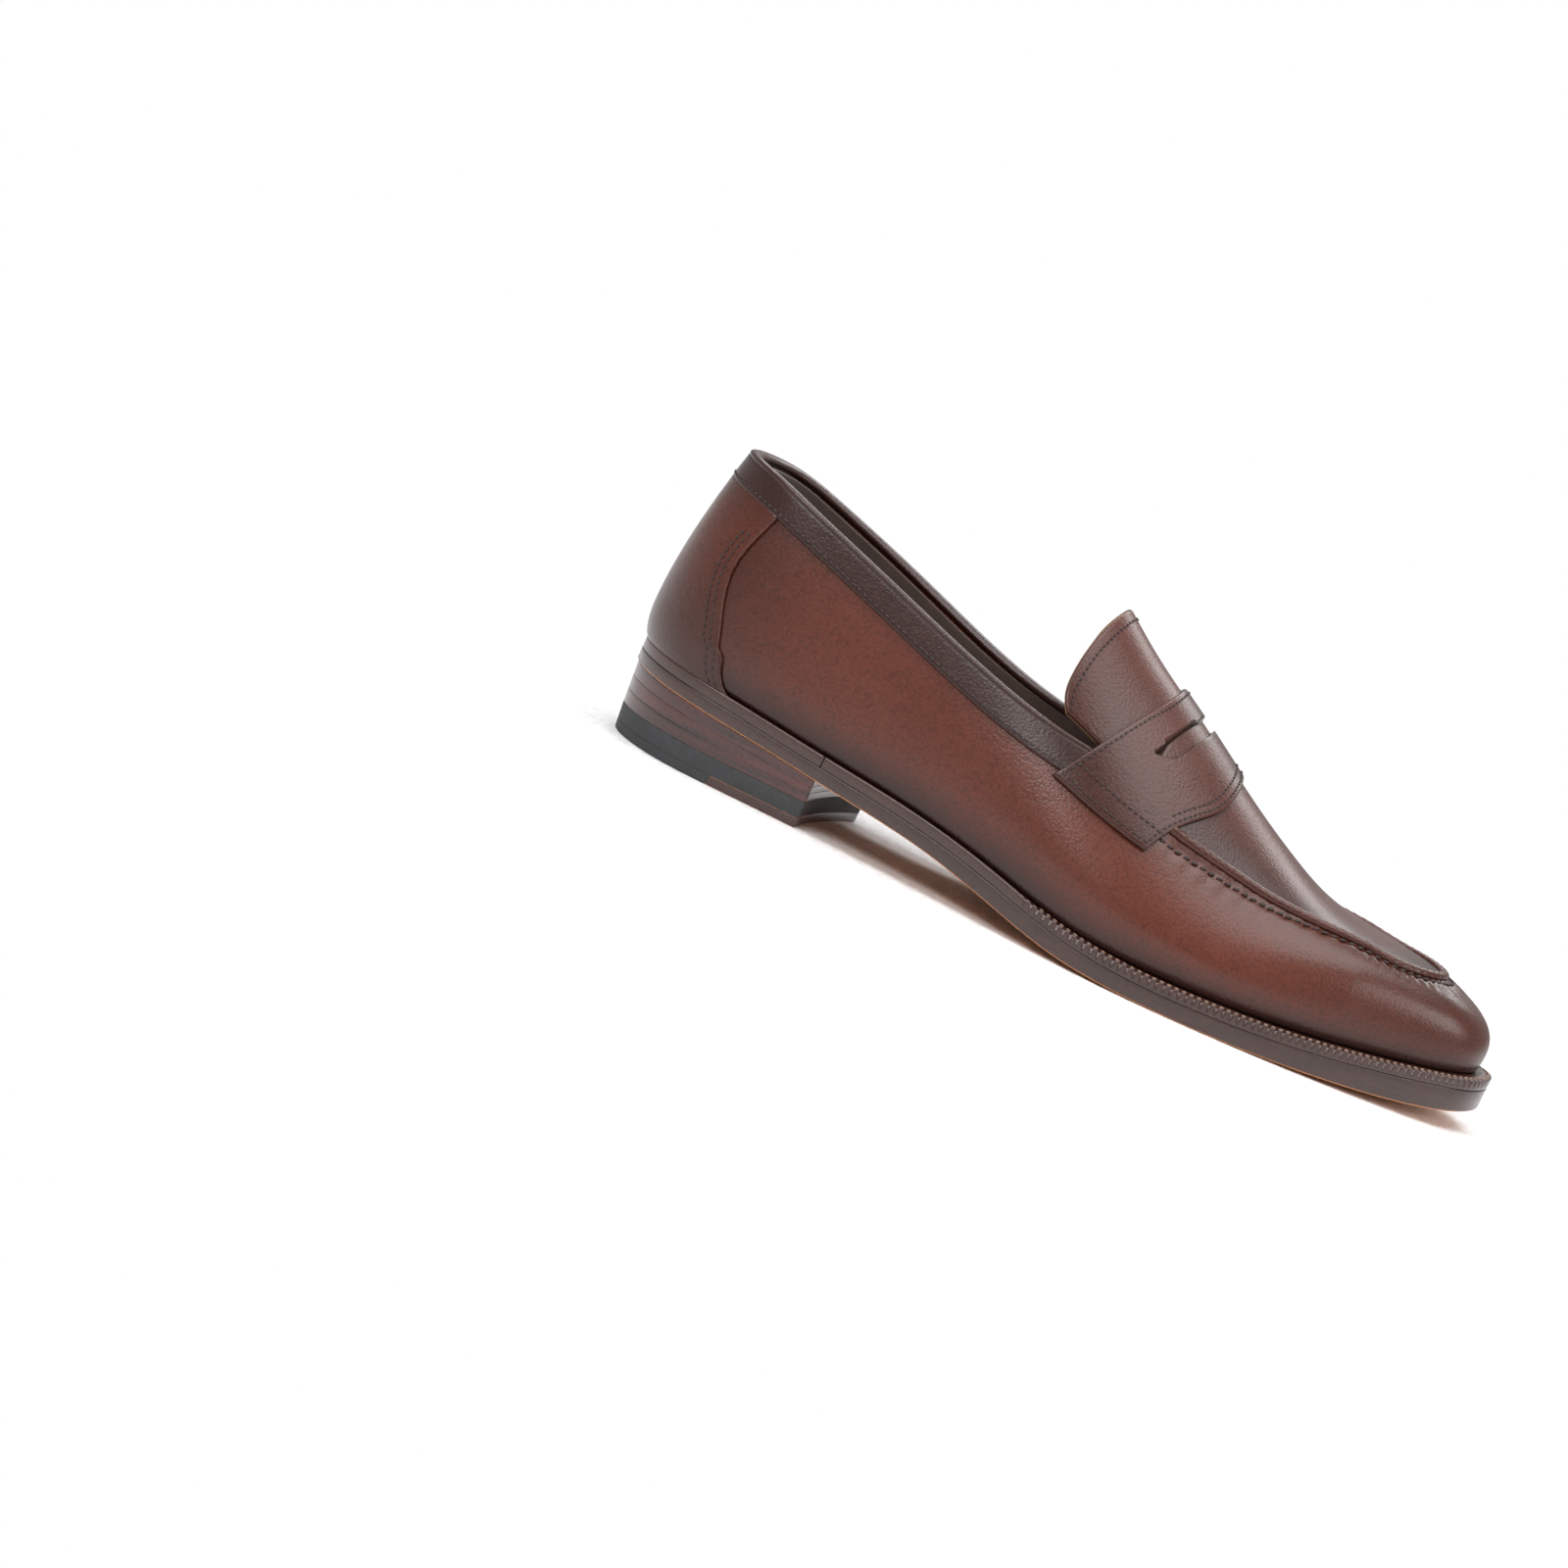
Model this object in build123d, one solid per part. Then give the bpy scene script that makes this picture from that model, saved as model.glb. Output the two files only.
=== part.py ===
from build123d import *
import os

import numpy as np

# Penny loafer, right shoe. +X points to the toe, +Y to the medial side, +Z up.
# The origin lies on the ground under the middle of the shoe. All sizes in millimetres.

# ---- driving dimensions -------------------------------------------------------------
SPINE_Y = 5.0                # plan line that the ridge of the upper follows
HEEL_CENTRE_X = -114.0       # centre of the round heel
TOE_CENTRE_X = 96.0          # centre of the round toe
LEATHER = 1.4                # vamp, quarters, apron and overlays
LINING = 1.0
STIFFENER = 1.4              # heel stiffener
TOE_PUFF = 0.9
LASTING_MARGIN = 7.0         # upper turned in under the insole
WELT = 3.8
INSOLE = 3.0
RUBBER_LIFT = 5.6
TOP_PIECE = 3.2              # last layer of the heel, on the ground
BREAST_X = -75.0             # front face of the heel on the spine line
BREAST_SKEW = 0.22           # the breast runs forward towards the medial side
FIT = 0.05                   # gap left between two pieces that touch
TURN = 0.3                   # gap kept round the tongue, which moves

# Plan outline of the outsole, from the back of the heel round the lateral side.
OUTLINE = [(-150, 8.5), (-142.5, -14.5), (-126, -26.8), (-100, -30.2), (-70, -33), (-40, -38),
           (-10, -46), (27, -52.4), (67, -48), (100, -38), (126, -26.5), (144, -13.5),
           (150, 4.6), (144.5, 19.8), (128, 33), (98, 45.6), (62, 52.4), (34, 49.5),
           (6, 38.5), (-22, 28.8), (-42, 29), (-66, 37), (-90, 44), (-116, 45.3), (-137, 37.5)]

# A station runs from 0 at the back of the heel, along the lateral side, round the toe at
# 0.5 and back along the medial side. These values vary with the station.
FEATHER_INSET = [(0, 2.2), (0.125, 2.4), (0.2, 2.6), (0.27, 3.6), (0.32, 6), (0.375, 6.6),
                 (0.44, 6.2), (0.5, 6), (0.56, 6.2), (0.625, 6.6), (0.68, 6), (0.73, 3.6),
                 (0.8, 2.2), (0.875, 2.2), (1, 2.2)]
BULGE = [(0, 3.4), (0.125, 3), (0.2, 3.2), (0.27, 3), (0.32, 2.4), (0.375, 1.8), (0.44, 1.4),
         (0.5, 1.3), (0.56, 1.4), (0.625, 2), (0.68, 3), (0.73, 4.5), (0.8, 5.5), (0.875, 3.5), (1, 3.4)]

# These values vary with X.
FEATHER_Z = [(-152, 31), (-114, 28.2), (-83, 25), (-52.6, 22.2), (-21.7, 17.6), (-3, 13.6), (12, 11),
             (30, 9.6), (50, 9.4), (75, 10.2), (101.6, 12.4), (132.5, 16.4), (150, 19)]
SOLE_BOTTOM_Z = [(-152, 22.8), (-114, 19.9), (-83, 16.7), (-60, 14.4), (-40, 12), (-21.7, 8.4), (-6, 4.8),
                 (9, 2), (24.5, 0.65), (42, 0.1), (70, 0.2), (101, 1.4), (132, 4.5), (152, 8.3)]
CROWN_Z = [(-152, 150), (-114, 150), (-70, 140), (-30, 115), (0, 93), (20, 81), (39, 69.2), (52, 61.4),
           (64.6, 54.6), (77, 48.8), (90, 45.2), (102, 43.8), (122, 42.5), (150, 39)]
TUCK_HEIGHT = [(-152, 11), (-60, 13), (0, 13), (60, 9), (110, 7), (152, 6)]
WALL_FULLNESS = [(-152, 0.35), (-60, 0.4), (0, 0.3), (40, 0.25), (65, 0.4), (90, 0.8), (110, 0.85), (152, 0.7)]
CROWN_FULLNESS = [(-152, 0.47), (-60, 0.47), (0, 0.42), (40, 0.4), (65, 0.48), (90, 0.66), (110, 0.75),
                  (152, 0.75)]
TOPLINE_Z = [(-152, 97.5), (-142, 96), (-129, 93.8), (-114, 89.5), (-83, 79.8), (-52, 70.2), (-37, 66.2),
             (-21.7, 63), (-7, 61), (10, 59)]
BAND_WIDTH = 8.6             # height of the topline band
APRON_HALF_WIDTH = [(-20, 42), (-7, 40.6), (12, 39.4), (26.7, 38.4), (38.8, 35.8), (50.8, 33), (62.9, 30.8),
                    (75, 28.4), (87.6, 25.6), (96, 23.6), (104, 22)]
APRON_TOE_X = 121.7
# Edges of the saddle strap and of the tongue, as (rise, X): rise 1 is the widest line of
# the upper and rise 2 the ridge.
STRAP_REAR = [(1.2, -17), (1.373, -8.5), (1.507, -2.7), (1.667, 3.6), (1.8, 8), (2, 10.5)]
STRAP_FRONT = [(1.3, 20.2), (1.46, 26.6), (1.64, 36), (1.767, 39), (1.9, 39.4), (2, 38.6)]
STRAP_FOOT_RISE = (1.243, 1.307)
TONGUE_REAR = [(1.4, -17.5), (1.43, -20.6), (1.47, -22.1), (1.52, -22.1), (1.667, -20), (1.8, -17.2), (2, -14.4)]
# Penny slot: its front and rear edges in plan, as (distance from the spine, X).
SLOT_FRONT = [(31.5, 11.0), (28.8, 15.6), (24.7, 18.9), (16.2, 21.9), (8.8, 24.1), (3.0, 25.0)]
SLOT_REAR = [(31.5, 11.0), (20.8, 15.0), (10.0, 18.6), (3.0, 20.2)]


# ---- smooth curves through a few values -----------------------------------------------
def spline(pairs, closed=False):
    """Cubic spline through (position, value) pairs."""
    at = np.array([pair[0] for pair in pairs], float)
    value = np.array([pair[1:] for pair in pairs], float)
    step = np.diff(at)
    slope = np.diff(value, axis=0) / step[:, None]
    count = len(at)
    matrix = np.eye(count)
    right = np.zeros_like(value)
    for i in range(1, count - 1):
        matrix[i, i - 1:i + 2] = step[i - 1], 2 * (step[i - 1] + step[i]), step[i]
        right[i] = 6 * (slope[i] - slope[i - 1])
    if closed:
        matrix[0, :2] = 2 * (step[0] + step[-1]), step[0]
        matrix[0, count - 2] = step[-1]
        right[0] = 6 * (slope[0] - slope[-1])
        matrix[-1, 0] = -1
    bend = np.linalg.solve(matrix, right)

    def curve(x):
        x = np.asarray(x, float)
        i = np.clip(np.searchsorted(at, x) - 1, 0, count - 2)
        h = step[i][..., None]
        b = ((x - at[i]) / step[i])[..., None]
        a = 1 - b
        out = a * value[i] + b * value[i + 1]
        out = out + ((a**3 - a) * bend[i] + (b**3 - b) * bend[i + 1]) * h**2 / 6
        return out[..., 0] if value.shape[1] == 1 else out

    return curve


def closed_outline(points):
    """Closed curve through plan points, at a parameter from 0 to 1."""
    loop = np.array(points + points[:1], float)
    run = np.cumsum(np.r_[0, np.sqrt(np.linalg.norm(np.diff(loop, axis=0), axis=1))])
    return spline([(k / run[-1], *point) for k, point in zip(run, loop)], closed=True)


feather_inset = spline(FEATHER_INSET)
bulge = spline(BULGE)
feather_z = spline(FEATHER_Z)
sole_bottom_z = spline(SOLE_BOTTOM_Z)
crown_z = spline(CROWN_Z)
tuck_height = spline(TUCK_HEIGHT)
wall_fullness = spline(WALL_FULLNESS)
crown_fullness = spline(CROWN_FULLNESS)
topline_z = spline(TOPLINE_Z)
apron_half_width = spline(APRON_HALF_WIDTH)
strap_rear_x = spline(STRAP_REAR)
strap_front_x = spline(STRAP_FRONT)
tongue_rear_x = spline(TONGUE_REAR)


# ---- the shape of the last --------------------------------------------------------------
def spoke(station):
    """Centre and outward direction of a station in plan."""
    s = np.mod(np.asarray(station, float), 1.0)
    length = TOE_CENTRE_X - HEEL_CENTRE_X
    side = np.where(s < 0.5, (s - 0.125) / 0.25, (0.875 - s) / 0.25)
    x = HEEL_CENTRE_X + np.clip(side, 0, 1) * length
    angle = np.where(s < 0.125, np.pi + s / 0.125 * np.pi / 2, 1.5 * np.pi)
    angle = np.where(s > 0.375, 1.5 * np.pi + (s - 0.375) / 0.25 * np.pi, angle)
    angle = np.where(s > 0.625, 2.5 * np.pi, angle)
    angle = np.where(s > 0.875, 2.5 * np.pi + (s - 0.875) / 0.125 * np.pi / 2, angle)
    return x, np.cos(angle), np.sin(angle)


def outline_radius_table(count=1441):
    """Distance from the spine to the outsole's edge at every station."""
    rim = closed_outline(OUTLINE)(np.linspace(0, 1, 3001))
    stations = np.linspace(0, 1, count)
    radii = []
    for x, dx, dy in zip(*spoke(stations)):
        rel = rim - (x, SPINE_Y)
        ahead = rel[:, 0] * dx + rel[:, 1] * dy
        aside = rel[:, 1] * dx - rel[:, 0] * dy
        cross = np.nonzero((aside[:-1] * aside[1:] <= 0) & (ahead[:-1] > 0))[0]
        i = cross[np.argmin(ahead[cross])]
        share = aside[i] / (aside[i] - aside[i + 1] + 1e-12)
        radii.append(ahead[i] + share * (ahead[i + 1] - ahead[i]))
    return stations, np.array(radii)


OUTLINE_STATIONS, OUTLINE_RADII = outline_radius_table()


def outline_radius(station):
    return np.interp(np.mod(station, 1.0), OUTLINE_STATIONS, OUTLINE_RADII)


def skin(station, rise):
    """Point on the outside of the upper. Rise 0 is the feather edge, 1 the widest line,
    2 the ridge; from 0 down to -1 it is the margin turned in under the insole."""
    station, rise = np.broadcast_arrays(np.asarray(station, float), np.asarray(rise, float))
    s = np.mod(station, 1.0)
    x0, dx, dy = spoke(s)
    feather = outline_radius(s) - feather_inset(s)
    widest = feather + bulge(s)
    tuck = tuck_height(x0 + widest * dx)
    base = feather_z(x0 + feather * dx)
    quarter = np.clip(rise, 0, 1) * np.pi / 2
    low_r = feather + (widest - feather) * np.sin(quarter)
    low_z = base + tuck * (1 - np.cos(quarter))
    wall = wall_fullness(x0 + widest * dx)
    top = crown_fullness(x0 + widest * dx)
    u = np.clip(rise - 1, 0, 1)
    v = 1 - u
    high_r = widest * (v**3 + 3 * v * v * u + 3 * v * u * u * top)
    level = 3 * v * v * u * wall + 3 * v * u * u + u**3
    high_z = base + tuck + (crown_z(x0 + high_r * dx) - base - tuck) * level
    in_r = feather + LASTING_MARGIN * np.clip(rise, -1, 0)
    in_z = feather_z(x0 + in_r * dx)
    r = np.where(rise < 0, in_r, np.where(rise < 1, low_r, high_r))
    z = np.where(rise < 0, in_z, np.where(rise < 1, low_z, high_z))
    return np.stack([x0 + r * dx, SPINE_Y + r * dy, z], -1)


def inward(station, rise):
    """Unit vector that points from the skin into the shoe."""
    step_s, step_t = 1e-3, 1e-2
    low = np.maximum(rise - step_t, -1)
    high = np.minimum(rise + step_t, 2)
    along = skin(station + step_s, rise) - skin(station - step_s, rise)
    up = skin(station, high) - skin(station, low)
    normal = np.cross(up, along)
    return normal / np.linalg.norm(normal, axis=-1, keepdims=True)


def skin_at(station, rise, depth):
    return skin(station, rise) + inward(station, rise) * np.asarray(depth, float)[..., None]


def solve_rise(station, wanted, low=1.0, high=1.97):
    """Rise at which wanted(point), which grows with the rise, passes through zero."""
    station = np.asarray(station, float)
    low = np.full(station.shape, low)
    high = np.full(station.shape, high)
    for _ in range(30):
        middle = (low + high) / 2
        below = wanted(skin(station, middle)) < 0
        low = np.where(below, middle, low)
        high = np.where(below, high, middle)
    return (low + high) / 2


def topline_rise(station, lower=0.0):
    return solve_rise(station, lambda p: p[..., 2] - topline_z(p[..., 0]) + lower)


def apron_rise(station):
    """Rise of the moc seam: on the side walls by its width, round the toe by its reach. The
    medial seam lies at the rises of the lateral one."""
    s = np.mod(np.asarray(station, float), 1.0)
    lateral = np.minimum(s, 1 - s)
    side = float(apron_half_width(TOE_CENTRE_X))
    tip = APRON_TOE_X - TOE_CENTRE_X

    def outside(p):
        x, y = p[..., 0] - TOE_CENTRE_X, p[..., 1] - SPINE_Y
        round_end = np.hypot(np.maximum(x, 0) / tip, y / side) - 1
        along = np.abs(y) / apron_half_width(np.minimum(p[..., 0], TOE_CENTRE_X)) - 1
        return -np.where(x > 0, round_end, along)

    return solve_rise(lateral, outside)


def rim_rise(station):
    """Upper edge of the side panels: the topline, then the moc seam."""
    x = skin(station, np.full(np.shape(station), 1.4))[..., 0]
    share = np.clip((x + 16) / 34, 0, 1)
    share = share * share * (3 - 2 * share)
    return topline_rise(station) * (1 - share) + apron_rise(station) * share


def station_of_x(x, medial=False):
    s = 0.125 + 0.25 * (np.asarray(x, float) - HEEL_CENTRE_X) / (TOE_CENTRE_X - HEEL_CENTRE_X)
    return 1 - s if medial else s


# ---- from meshes on the last to closed solids ---------------------------------------------
def closed_solid(outer, inner, quads):
    """Solid between two skins that share their quads, with its open edges closed."""
    keys = {}
    merged = []
    for point in outer:
        merged.append(keys.setdefault(tuple(np.round(point, 3)), len(merged)))
    triangles = []
    for a, b, c, d in quads:
        for triangle in ((a, b, c), (a, c, d)):
            corners = tuple(merged[k] for k in triangle)
            if len(set(corners)) == 3:
                triangles.append(corners)
    used = {}
    for triangle in triangles:
        for k in range(3):
            pair = (triangle[k], triangle[(k + 1) % 3])
            used[pair] = used.get(pair, 0) + 1
    open_edges = [pair for pair in used if (pair[1], pair[0]) not in used]
    top = [Vector(*map(float, point)) for point in outer]
    low = [Vector(*map(float, point)) for point in inner]
    faces = []
    for a, b, c in triangles:
        faces.append(Face(Wire.make_polygon([top[a], top[b], top[c]])))
        faces.append(Face(Wire.make_polygon([low[a], low[b], low[c]])))
    for a, b in open_edges:
        faces.append(Face(Wire.make_polygon([top[a], top[b], low[b]])))
        faces.append(Face(Wire.make_polygon([top[a], low[b], low[a]])))
    solid = Solid(Shell(faces))
    return solid if solid.volume > 0 else solid.fix()


def grid_solid(stations, rises, near, far):
    """Solid on a grid of stations and rises, between two depths under the skin."""
    rows, columns = stations.shape
    near = np.broadcast_to(near, stations.shape)
    far = np.broadcast_to(far, stations.shape)
    outer = skin_at(stations, rises, near).reshape(-1, 3)
    inner = skin_at(stations, rises, far).reshape(-1, 3)
    quads = [(i * columns + j, (i + 1) * columns + j, (i + 1) * columns + j + 1, i * columns + j + 1)
             for i in range(rows - 1) for j in range(columns - 1)]
    return closed_solid(outer, inner, quads)


def half_stations():
    heel = np.linspace(0, 0.125, 9)
    side = np.array([0.15, 0.175, 0.2, 0.222, 0.239, 0.256, 0.2715, 0.29, 0.31, 0.335, 0.36])
    toe = np.linspace(0.375, 0.5, 9)
    return np.r_[heel, side, toe]


HALF = half_stations()


def wall_stations(limit):
    """Stations round the heel, from the medial limit to the lateral one."""
    side = HALF[HALF <= limit + 1e-9]
    return np.r_[-side[:0:-1], side]


def toe_stations(start):
    side = HALF[HALF >= start - 1e-9]
    return np.r_[side, 1 - side[-2::-1]]


def wall_rises(stations):
    """Rows of the wall: margin, feather, tuck, widest line, middle, seam and rim."""
    from_heel = np.abs(np.mod(stations + 0.5, 1.0) - 0.5)
    rim = rim_rise(stations)
    seam = np.where(from_heel < 0.255, topline_rise(stations, BAND_WIDTH), rim - 0.1)
    middle = (1 + seam) / 2
    flat = np.ones_like(stations)
    return np.stack([-0.93 * flat, 0 * flat, 0.28 * flat, 0.6 * flat, flat, middle, seam, rim], 1)


def wall_piece(stations, first_row, last_row, near, far):
    """Piece of the wall between two of its rows, both counted from the margin."""
    rises = wall_rises(stations)[:, first_row:last_row + 1]
    s = np.broadcast_to(stations[:, None], rises.shape)
    depths = [d(s) if callable(d) else d for d in (near, far)]
    return grid_solid(s, rises, *depths)


def crown_piece(start, first_row, near, far):
    """Piece that covers the crown from a station round the toe, inside the moc seam. The
    rows run from the seam to the ridge, and the piece starts at its first row."""
    stations = toe_stations(start)
    low = apron_rise(stations) + 0.008
    share = np.array([0, 0.15, 0.45, 0.75, 1.0])[None, first_row:]
    rises = low[:, None] * (1 - share) + 2.0 * share
    s = np.broadcast_to(stations[:, None], rises.shape)
    inside = np.minimum(rises, 1.9995)
    outer = skin_at(s, inside, np.full(s.shape, near))
    inner = skin_at(s, inside, np.full(s.shape, far))
    for skin_points in (outer, inner):
        ridge = skin_points[:, -1]
        paired = (ridge + ridge[::-1]) / 2
        fan = (stations > 0.374) & (stations < 0.626)
        paired[fan] = paired[fan].mean(axis=0)
        skin_points[:, -1] = paired
    rows, columns = s.shape
    quads = [(i * columns + j, (i + 1) * columns + j, (i + 1) * columns + j + 1, i * columns + j + 1)
             for i in range(rows - 1) for j in range(columns - 1)]
    return closed_solid(outer.reshape(-1, 3), inner.reshape(-1, 3), quads)


def saddle_piece(rear, front, foot, near, far, across=6, over=25):
    """Piece that lies over the ridge, from its lateral foot to its medial foot. rear and
    front give X at a rise, foot the rise of both feet at a share of the width."""
    width = np.linspace(0, 1, across)[:, None]
    arch = np.linspace(-1, 1, over)[None, :]
    rise = 2 - (2 - foot(width)) * np.abs(arch)
    rise = np.minimum(rise, 1.9995)
    x = rear(rise) * (1 - width) + front(rise) * width
    s = station_of_x(x)
    s = np.where(arch > 0, 1 - s, s)
    return grid_solid(s, rise, near, far)


def ring_points(inset, count=72, s_from=0.0, s_to=1.0):
    """Plan points at a distance inside the outsole's edge."""
    stations = np.linspace(s_from, s_to, count)
    x0, dx, dy = spoke(stations)
    r = outline_radius(stations) - (inset(np.mod(stations, 1.0)) if callable(inset) else inset)
    return [(float(a), float(b)) for a, b in zip(x0 + r * dx, SPINE_Y + r * dy)]


def prism(inset, low=-20, high=80):
    """Upright prism on the outsole's outline, pulled in by the inset."""
    edge = Spline(*[(x, y, low) for x, y in ring_points(inset)[:-1]], periodic=True)
    return Solid.extrude(Face(Wire([edge])), Vector(0, 0, high - low))


def slab(bottom, top, x_from=-156.0, x_to=156.0, count=40):
    """Layer between two heights that vary with X, as wide as the shoe."""
    xs = np.linspace(x_from, x_to, count)
    low = Spline(*[(float(x), -70, float(bottom(x))) for x in xs])
    high = Spline(*[(float(x), -70, float(top(x))) for x in xs])
    ends = [Line(low @ 0, high @ 0), Line(low @ 1, high @ 1)]
    return Solid.extrude(Face(Wire([low, high] + ends)), Vector(0, 140, 0))


def breast_x(y):
    """The heel breast: a shallow curve, hollow towards the toe."""
    across = (y - SPINE_Y) / 38
    return BREAST_X + BREAST_SKEW * (y - SPINE_Y) + 3.0 * across**2


def behind_breast(gap=0.0, low=-20, high=80):
    """Block that holds everything behind the heel breast."""
    ys = np.linspace(-70, 70, 15)
    front = Spline(*[(float(breast_x(y)) - gap, float(y), low) for y in ys])
    rim = [front @ 1, (-170, 70, low), (-170, -70, low), front @ 0]
    return Solid.extrude(Face(Wire([front] + list(Polyline(*rim).edges()))), Vector(0, 0, high - low))


def one(shape):
    """The largest solid of a boolean's result."""
    return max(shape.solids(), key=lambda s: s.volume)


# ---- layers --------------------------------------------------------------------------------
WELT_GAP = 0.2               # room over the welt for the facets of the upper


def welt_bottom(x):
    return feather_z(x) - WELT


def sole_top(x):
    return feather_z(x) - WELT - FIT


UPPER_STACK = LEATHER + STIFFENER + LINING + 3 * FIT


def insole_bottom(x):
    return feather_z(x) + UPPER_STACK


def insole_top(x):
    return feather_z(x) + UPPER_STACK + INSOLE


def smooth(x, start, end):
    share = np.clip((x - start) / (end - start), 0, 1)
    return share * share * (3 - 2 * share)


def stiffened(station):
    """1 where the heel stiffener backs the quarters, 0 in the forepart."""
    s = np.mod(station, 1.0)
    from_heel = np.minimum(s, 1 - s)
    return 1 - smooth(from_heel, 0.155, 0.2)


def puffed(station):
    """1 where the toe puff backs the toe."""
    from_toe = np.abs(np.mod(station, 1.0) - 0.5)
    return 1 - smooth(from_toe, 0.15, 0.175)


def lining_depth(station):
    return LEATHER + FIT + stiffened(station) * (STIFFENER + FIT) + puffed(station) * (TOE_PUFF + FIT)


# ---- sub-parts: upper -------------------------------------------------------------------------
BAND_END = 0.239
QUARTER_END = 0.256
LINING_SPLIT = 0.2715


def side_panels():
    return wall_piece(np.r_[HALF, 1 - HALF[-2::-1]], 0, 7, 0.0, LEATHER)


def heel_counter_cover():
    return wall_piece(wall_stations(0.094), 2, 6, -LEATHER + 0.1, -FIT)


def topline_band():
    return wall_piece(wall_stations(BAND_END), 6, 7, -LEATHER, -FIT)


def topline_bead():
    """Folded edge that closes the topline over the leather and the lining."""
    stations = wall_stations(BAND_END)
    rim = rim_rise(stations)
    rises = np.stack([rim + 0.003, rim + 0.03], 1)
    s = np.broadcast_to(stations[:, None], rises.shape)
    return grid_solid(s, rises, -LEATHER, lining_depth(s) + LINING)


def apron():
    return crown_piece(0.29, 0, 0.0, LEATHER)


def apron_lining():
    return crown_piece(0.29, 1, LEATHER + FIT, LEATHER + FIT + LINING - 0.2)


def strap_foot(width):
    return STRAP_FOOT_RISE[0] * (1 - width) + STRAP_FOOT_RISE[1] * width


def penny_slot():
    """Moustache-shaped window: almost straight at the back, two lobes at the front."""
    def edge(half):
        side = [(x, SPINE_Y - across, 40) for across, x in half]
        return Spline(*(side + [(x, 2 * SPINE_Y - y, z) for x, y, z in side[::-1]]))

    return Solid.extrude(Face(Wire([edge(SLOT_FRONT), edge(SLOT_REAR)])), Vector(0, 0, 80))


def saddle_strap():
    strap = saddle_piece(strap_rear_x, strap_front_x, strap_foot, -LEATHER - 0.3, -0.3)
    return one(strap - penny_slot())


TONGUE_FOOT = (1.41, 1.455)


def tongue_foot(width):
    return TONGUE_FOOT[0] * (1 - width) + TONGUE_FOOT[1] * width


def tongue_front_x(rise):
    return strap_rear_x(rise) - TURN


def tongue():
    return saddle_piece(tongue_rear_x, tongue_front_x, tongue_foot, 0.1, 0.1 + LEATHER)


def tongue_lining():
    return saddle_piece(tongue_rear_x, tongue_front_x, tongue_foot, 0.15 + LEATHER, 0.95 + LEATHER)


def heel_stiffener():
    return wall_piece(wall_stations(0.15), 1, 6, LEATHER + FIT, LEATHER + FIT + STIFFENER)


def toe_puff():
    return wall_piece(toe_stations(0.36), 1, 6, LEATHER + FIT, LEATHER + FIT + TOE_PUFF)


def lining_back(station):
    return lining_depth(station) + LINING


def quarter_lining():
    return wall_piece(wall_stations(QUARTER_END), 1, 7, lining_depth, lining_back)


def vamp_lining():
    return wall_piece(toe_stations(LINING_SPLIT), 1, 6, lining_depth, lining_back)


# ---- sub-parts: bottom -------------------------------------------------------------------------
def layer(inset, bottom, top):
    return one(prism(inset) & slab(bottom, top))


def inside_feather(distance):
    return lambda s: feather_inset(s) + distance


def insole():
    return layer(inside_feather(3.6), insole_bottom, insole_top)


def insole_rib():
    wall = layer(inside_feather(LASTING_MARGIN + 0.5), welt_bottom, lambda x: insole_bottom(x) - FIT)
    return one(wall - prism(inside_feather(LASTING_MARGIN + 2.2)))


def welt():
    ring = layer(0.0, welt_bottom, lambda x: feather_z(x) - WELT_GAP)
    ring = ring - prism(inside_feather(LASTING_MARGIN))
    return one(ring - behind_breast())


def heel_rand():
    ring = layer(0.0, welt_bottom, lambda x: feather_z(x) - WELT_GAP)
    ring = ring - prism(inside_feather(LASTING_MARGIN))
    return one(ring & behind_breast(0.1))


def outsole():
    return layer(0.0, sole_bottom_z, sole_top)


def shank_prism(grow=0.0):
    block = Box(96 + 2 * grow, 11 + 2 * grow, 120, align=(Align.CENTER, Align.CENTER, Align.MIN))
    return Location((-54, SPINE_Y, -10), (0, 0, -4)) * block


def shank():
    strip = slab(lambda x: insole_bottom(x) - 1.4, lambda x: insole_bottom(x) - 0.2)
    return one(strip & shank_prism())


def cork_filler():
    body = layer(inside_feather(LASTING_MARGIN + 2.3), welt_bottom, lambda x: insole_bottom(x) - FIT)
    pocket = slab(lambda x: insole_bottom(x) - 1.5, lambda x: insole_bottom(x) + 1) & shank_prism(0.1)
    return one(body - pocket)


def heel_sock():
    pad = layer(inside_feather(7.5), lambda x: insole_top(x) + FIT, lambda x: insole_top(x) + 0.9)
    front = Cylinder(34, 60, align=(Align.CENTER, Align.CENTER, Align.MIN))
    block = Box(90, 90, 60, align=(Align.MAX, Align.CENTER, Align.MIN))
    keep = Location((-92, SPINE_Y, 0)) * (front + block)
    return one(pad & keep)


HEEL_PITCH = 2.6             # how much the heel narrows from its seat to the ground


def heel_block():
    """The whole heel below the outsole: it narrows towards the ground."""
    def ring(inset, z):
        return Wire([Spline(*[(x, y, z) for x, y in ring_points(inset)[:-1]], periodic=True)])

    # only the part behind the breast is kept, and it leans in like the rings do
    cone = Solid.make_loft([ring(HEEL_PITCH, 0.0), ring(0.0, 26.0)], ruled=True)
    below_sole = slab(lambda x: 0.0 * x, lambda x: sole_bottom_z(x) - FIT, x_to=-45.0)
    return one(cone & behind_breast() & below_sole)


def nail_positions():
    """Nails of the top piece, in two rows that follow the edge of the heel."""
    lateral = [(x, -22.4) for x in (-104.7, -95.4, -85.9)]
    medial = [(x, 31.5 + 5.0 * (x + 117) / 46) for x in (-117, -108.7, -100.7, -89.9, -80.6, -70.8)]
    return lateral + [(x, min(y, 36.0) - 1.5) for x, y in medial]


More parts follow.
